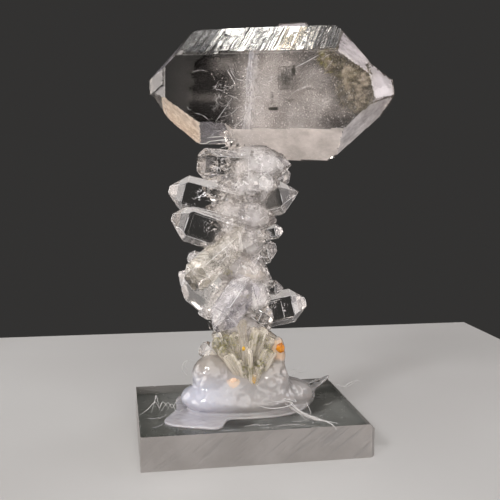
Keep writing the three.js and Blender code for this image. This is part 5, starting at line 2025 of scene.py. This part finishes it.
threads = [
    ([(5.7, -5.3, 8.9), (7.2, -8.3, 7.6), (8.6, -10.2, 7.1), (10.3, -11.1, 6.7), (11.9, -13.4, 6.5),
      (12.6, -13.75, 6.0), (13.2, -13.85, 5.2)], 0.09),
    ([(6.4, -5.6, 8.6), (7.6, -8.8, 7.5), (9.4, -10.8, 6.9), (11.4, -12.4, 6.6), (13.4, -13.5, 6.4)], 0.07),
    ([(4.2, -5.8, 8.9), (6.2, -6.6, 8.7), (7.8, -5.9, 8.0), (7.0, -4.6, 8.8), (5.6, -4.6, 9.4)], 0.08),
    ([(0.2, -7.9, 8.4), (2.6, -8.4, 7.9), (5.2, -8.1, 7.9), (6.8, -7.2, 8.2), (5.4, -7.0, 8.6),
      (2.2, -7.6, 8.7)], 0.09),
    ([(8.2, -8.6, 7.2), (9.4, -8.4, 6.5), (10.1, -7.6, 6.4), (9.9, -6.8, 7.2), (9.6, -6.2, 8.0)], 0.05),
    ([(7.4, -9.0, 7.2), (8.4, -10.2, 6.3), (9.2, -9.8, 6.3), (8.8, -9.2, 6.8)], 0.05),
    ([(-20.1, -3.4, 6.1), (-18.5, -1.5, 6.5), (-17.2, -2.2, 8), (-16.4, -1.2, 6.6), (-15.7, -0.5, 7.4),
      (-14.6, -1.0, 6.2)], 0.06),
    ([(-17.9, -2.2, 6.1), (-17.2, -1.0, 7.8), (-16.9, -0.6, 8.6), (-16.3, -1.6, 6.1)], 0.045),
    ([(-16.4, -2.6, 6.1), (-14.9, -1.1, 7.4), (-14.1, -1.1, 6.4), (-13.3, -0.3, 7.2), (-12.6, -1.2, 8.3)],
     0.05),
    ([(-15.2, -2.0, 6.1), (-14.2, -2.4, 7.6), (-13.4, -3.0, 6.2), (-12.2, -3.6, 7.0)], 0.045),
    ([(-19.9, -8.0, 6.05), (-20.1, -8.6, 5.4), (-20.15, -9.0, 4.2), (-20.0, -9.6, 3.6)], 0.05),
    ([(-11.2, -1.0, 12.2), (-12.2, -1.2, 13.4), (-11.9, -1.4, 14.9), (-10.6, -1.6, 15.4)], 0.04),
    ([(-10.9, -1.0, 13.2), (-11.7, -1.0, 14.0), (-11.3, -1.2, 15.0), (-10.2, -1.4, 15.2)], 0.035),
    ([(18.4, 11.2, 6.5), (19.6, 8.6, 6.2), (20.5, 5.9, 6.6), (21.4, 5.8, 7.2), (22.4, 4.6, 8.0),
      (23.3, 3.6, 8.2)], 0.06),
    ([(20.2, 6.4, 6.1), (21.0, 4.9, 6.9), (22.2, 4.4, 7.9), (23.0, 4.9, 8.3)], 0.035),
    ([(9.8, 8.6, 7.0), (11.4, 9.8, 8.6), (13.2, 11.0, 8.3), (14.8, 12.0, 8.9)], 0.045),
    ([(8.4, 9.0, 7.4), (10.6, 10.2, 9.0), (12.2, 11.8, 8.6), (13.0, 12.4, 9.0)], 0.035),
    ([(-6.2, 9.2, 6.6), (-7.4, 11.0, 6.2), (-9.0, 11.4, 7.0), (-9.8, 12.6, 6.2)], 0.05),
]


def buildThreads():
    vertices, faces = tubeMesh(*zip(*threads), cells=7, steps=12)
    material, tree, shader, place = newMaterial("glueThread")
    patches = patchNode(tree, place, 900, 3, 0.6, 0.35, 0.65)
    feed(shader, "Base Color", mixColour(tree, patches, (0.80, 0.78, 0.76), (0.93, 0.92, 0.92)))
    setPlain(shader, {"Roughness": 0.22, "IOR": 1.48, "Transmission Weight": 0.35})
    closedMesh("glueThreads", vertices * mm, faces, material, smooth=True)


buildThreads()


smears = [      # flat traces of glue on the block (mm; path, half width)
    ([(-2.6, -11.6), (-1.0, -11.0), (0.8, -11.3), (2.4, -11.0)], 0.16),
    ([(2.6, -12.3), (4.4, -11.8), (6.4, -12.0), (7.8, -12.7)], 0.20),
    ([(5.8, -10.0), (7.2, -10.5), (8.8, -10.2), (10.0, -10.8)], 0.13),
    ([(-7.0, -13.0), (-5.2, -12.7), (-3.6, -13.1)], 0.12),
    ([(-0.4, -12.8), (1.2, -12.5), (2.0, -12.9)], 0.10),
    ([(11.2, -8.6), (12.4, -7.8), (13.0, -6.4)], 0.09),
    ([(13.6, -3.0), (15.4, -2.0), (16.2, -0.4)], 0.08),
    ([(-18.0, -9.6), (-16.6, -8.8), (-15.9, -7.2)], 0.10),
    ([(-18.6, -4.8), (-17.4, -5.2), (-16.0, -4.6), (-15.2, -3.2)], 0.09),
    ([(9.4, -11.6), (9.9, -11.2), (10.4, -11.5)], 0.22),
    ([(15.0, -9.6), (15.4, -9.4), (15.9, -9.6)], 0.12),
]


def buildSmears():
    paths = [[(x, y, 0) for x, y in path] for path, half in smears]
    vertices, faces = tubeMesh(paths, [half for path, half in smears], cells=8, steps=10)
    vertices[:, 2] = blockHeight + 0.06 + vertices[:, 2] * 0.35
    wander = smoothNoise(vertices, 1.1, 12) - 0.3
    vertices[:, 0] += 0.25 * wander
    vertices[:, 1] += 0.18 * wander
    vertices[:, 2] = np.maximum(vertices[:, 2], 6.012)
    closedMesh("glueSmears", vertices * mm, faces, bpy.data.materials["hotMeltGlue"], smooth=True)


buildSmears()


# Sawn acrylic block: polished above and below, saw marks left on its four sides

block = {
    "width": 40.4, "depth": 27.5, "height": blockHeight, "edgeCut": 1.0, "cornerCut": 0.7,
    "cell": 0.2, "slant": 38, "markDepth": 0.08,
    "chips": [      # nicks along the edges: middle, radius
        ((20.2, -13.75, 4.4), 0.42), ((20.1, -13.6, 5.8), 0.36), ((-20.2, -13.75, 5.9), 0.3),
        ((-20.25, -6.0, 6.0), 0.28), ((-20.25, 2.0, 6.05), 0.3), ((8.5, -13.95, 6.05), 0.32),
        ((16.4, -13.95, 0.0), 0.34), ((-9.6, -13.95, 0.0), 0.3), ((20.35, 9.0, 4.9), 0.3),
        ((-11.5, 13.95, 6.05), 0.34), ((6.0, 13.95, 0.05), 0.3), ((-2.0, -13.97, 6.08), 0.26),
        ((20.4, -3.0, 5.0), 0.28), ((12.0, 13.95, 6.05), 0.3),
    ],
}


def sawSide(builder, corner, across, upward, columns, rows, seed):
    grid = []
    for row in range(rows + 1):
        for column in range(columns + 1):
            grid.append(builder.verts.new(corner + across * (column / columns) + upward * (row / rows)))
    outward = across.cross(upward).normalized()
    slant = math.radians(block["slant"])
    for row in range(rows + 1):
        for column in range(columns + 1):
            if row in (0, rows) or column in (0, columns):
                continue
            along = across.length * column / columns
            high = upward.length * row / rows
            line = high * math.cos(slant) - along * math.sin(slant)
            down = along * math.cos(slant) + high * math.sin(slant)
            mark = noise.fractal(Vector((line * 1.7, down * 0.12, seed)), 0.8, 2.2, 5)
            broad = noise.fractal(Vector((line * 0.4, down * 0.2, seed + 9)), 0.9, 2.0, 3)
            edge = min(1.0, min(row, rows - row) / 2, min(column, columns - column) / 2)
            cut = block["markDepth"] * (max(0.0, mark) + 0.35 * max(0.0, broad)) * edge
            grid[row * (columns + 1) + column].co -= outward * cut
    for row in range(rows):
        for column in range(columns):
            first = row * (columns + 1) + column
            above = first + columns + 1
            builder.faces.new((grid[first], grid[first + 1], grid[above + 1], grid[above]))


def sawnBar():
    builder = bmesh.new()
    x, y, top = block["width"] / 2, block["depth"] / 2, block["height"]
    long, short, tall = (int(round(length / block["cell"])) for length in (2 * x, 2 * y, top))
    up = Vector((0, 0, top))
    sawSide(builder, Vector((-x, -y, 0)), Vector((2 * x, 0, 0)), up, long, tall, 1)
    sawSide(builder, Vector((x, -y, 0)), Vector((0, 2 * y, 0)), up, short, tall, 20)
    sawSide(builder, Vector((x, y, 0)), Vector((-2 * x, 0, 0)), up, long, tall, 40)
    sawSide(builder, Vector((-x, y, 0)), Vector((0, -2 * y, 0)), up, short, tall, 60)
    bmesh.ops.remove_doubles(builder, verts=builder.verts[:], dist=0.001)
    for level in (0, top):
        ring = [v for v in builder.verts if abs(v.co.z - level) < 1e-5]
        ordered = []
        for fixed, place, moving, way in ((1, -y, 0, 1), (0, x, 1, 1), (1, y, 0, -1), (0, -x, 1, -1)):
            line = (v for v in ring if abs(v.co[fixed] - place) < 1e-4)
            ordered += sorted(line, key=lambda v: way * v.co[moving])[:-1]
        builder.faces.new(ordered if level else list(reversed(ordered)))
    for vertex in builder.verts:
        vertex.co *= mm
    bmesh.ops.recalc_face_normals(builder, faces=builder.faces[:])
    return meshFrom(builder, "sawnBar")


def cutter(kind, at, size, turn=(0, 0, 0)):
    builder = bmesh.new()
    if kind == "box":
        bmesh.ops.create_cube(builder, size=1)
        bmesh.ops.scale(builder, vec=size, verts=builder.verts)
    else:
        bmesh.ops.create_icosphere(builder, subdivisions=2, radius=size)
        chance = random.Random(int(at[0] * 100) + int(at[1] * 10))
        for vertex in builder.verts:
            vertex.co *= 0.75 + 0.4 * chance.random()
    spun, leant, rolled = (Matrix.Rotation(angle, 3, axis) for angle, axis in zip(turn[::-1], "ZYX"))
    turned = spun @ leant @ rolled
    for vertex in builder.verts:
        vertex.co = (turned @ vertex.co + Vector(at)) * mm
    return meshFrom(builder, "cutter")


def acrylicFinish(sawn):
    material, tree, shader, place = newMaterial("acrylicSawn" if sawn else "acrylicPolished")
    setPlain(shader, {"IOR": 1.49})
    if sawn:
        frost = patchNode(tree, place, 130, 4, 0.6, 0.3, 0.7)
        pale = mixColour(tree, frost, (0.44, 0.41, 0.39), (0.55, 0.515, 0.495))
        scored = attributeNode(tree, "sawDepth")
        side = tree.nodes.new("ShaderNodeSeparateXYZ")
        tree.links.new(place, side.inputs[0])
        fainter = mathNode(tree, "MULTIPLY_ADD", rampNode(tree, side.outputs["X"], -0.014, 0.010), 0.6, 0.25)
        # darker the deeper the saw grooves cut, fainter towards the left
        marked = mathNode(tree, "MULTIPLY", rampNode(tree, scored, 0.05, 0.75), fainter)
        feed(shader, "Base Color", mixColour(tree, marked, pale, (0.42, 0.40, 0.39)))
        feedSmudges(tree, shader, 0.36, 0.62, 340.0)
        bumpInto(tree, shader, noiseNode(tree, place, 2200, 5, 0.65), 0.00006, 0.6)
        setPlain(shader, {"Transmission Weight": 0.45})
    else:
        feedSmudges(tree, shader, 0.03, 0.34, 230.0)
        setPlain(shader, {"Base Color": (0.97, 0.97, 0.96, 1)})
        stretched = tree.nodes.new("ShaderNodeMapping")
        stretched.inputs["Rotation"].default_value = (0, 0, 0.5)
        stretched.inputs["Scale"].default_value = (1, 14, 1)
        tree.links.new(place, stretched.inputs[0])
        scratches = patchNode(tree, stretched.outputs[0], 420, 3, 0.6, 0.62, 0.70)
        bumpInto(tree, shader, scratches, 0.00002, 0.5)
        setPlain(shader, {"Transmission Weight": 1.0})
    lampsPassThrough(tree, shader, (0.9, 0.9, 0.89))
    absorbInside(tree, (0.90, 0.91, 0.90), 45)
    return material


def buildBlock():
    half, deep, top = block["width"] / 2, block["depth"] / 2, block["height"]
    edge, corner = block["edgeCut"], block["cornerCut"] * math.sqrt(2)
    slope = edge * math.sqrt(2)
    cutters = [
        cutter("box", (half, 0, top), (slope, 2 * deep + 2, slope), (0, math.pi / 4, 0)),
        cutter("box", (half, -deep, top / 2), (corner, corner, 3 * top), (0, 0, math.pi / 4)),
    ]
    cutters += [cutter("chip", at, radius) for at, radius in block["chips"]]
    mesh = sawnBar()
    for tool in cutters:
        mesh = joinPair(mesh, tool, "DIFFERENCE")
    mesh = outerSkin(mesh)
    mesh.materials.clear()
    mesh.materials.append(acrylicFinish(True))
    mesh.materials.append(acrylicFinish(False))
    for polygon in mesh.polygons:
        polygon.material_index = int(abs(polygon.normal.z) > 0.99)
        polygon.use_smooth = False
    corners = np.empty(len(mesh.vertices) * 3)
    mesh.vertices.foreach_get("co", corners)
    corners = np.abs(corners.reshape(-1, 3)) / mm
    depth = np.minimum(half - corners[:, 0], deep - corners[:, 1]) / block["markDepth"]
    addLayer(mesh, "sawDepth", np.clip(np.where(depth > 3, 0, depth), 0, 1))
    piece = newObject("acrylicBlock", mesh)
    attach(piece, "root")
    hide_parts("base_block")
    print("stage: block of", len(mesh.polygons), "faces")


buildBlock()
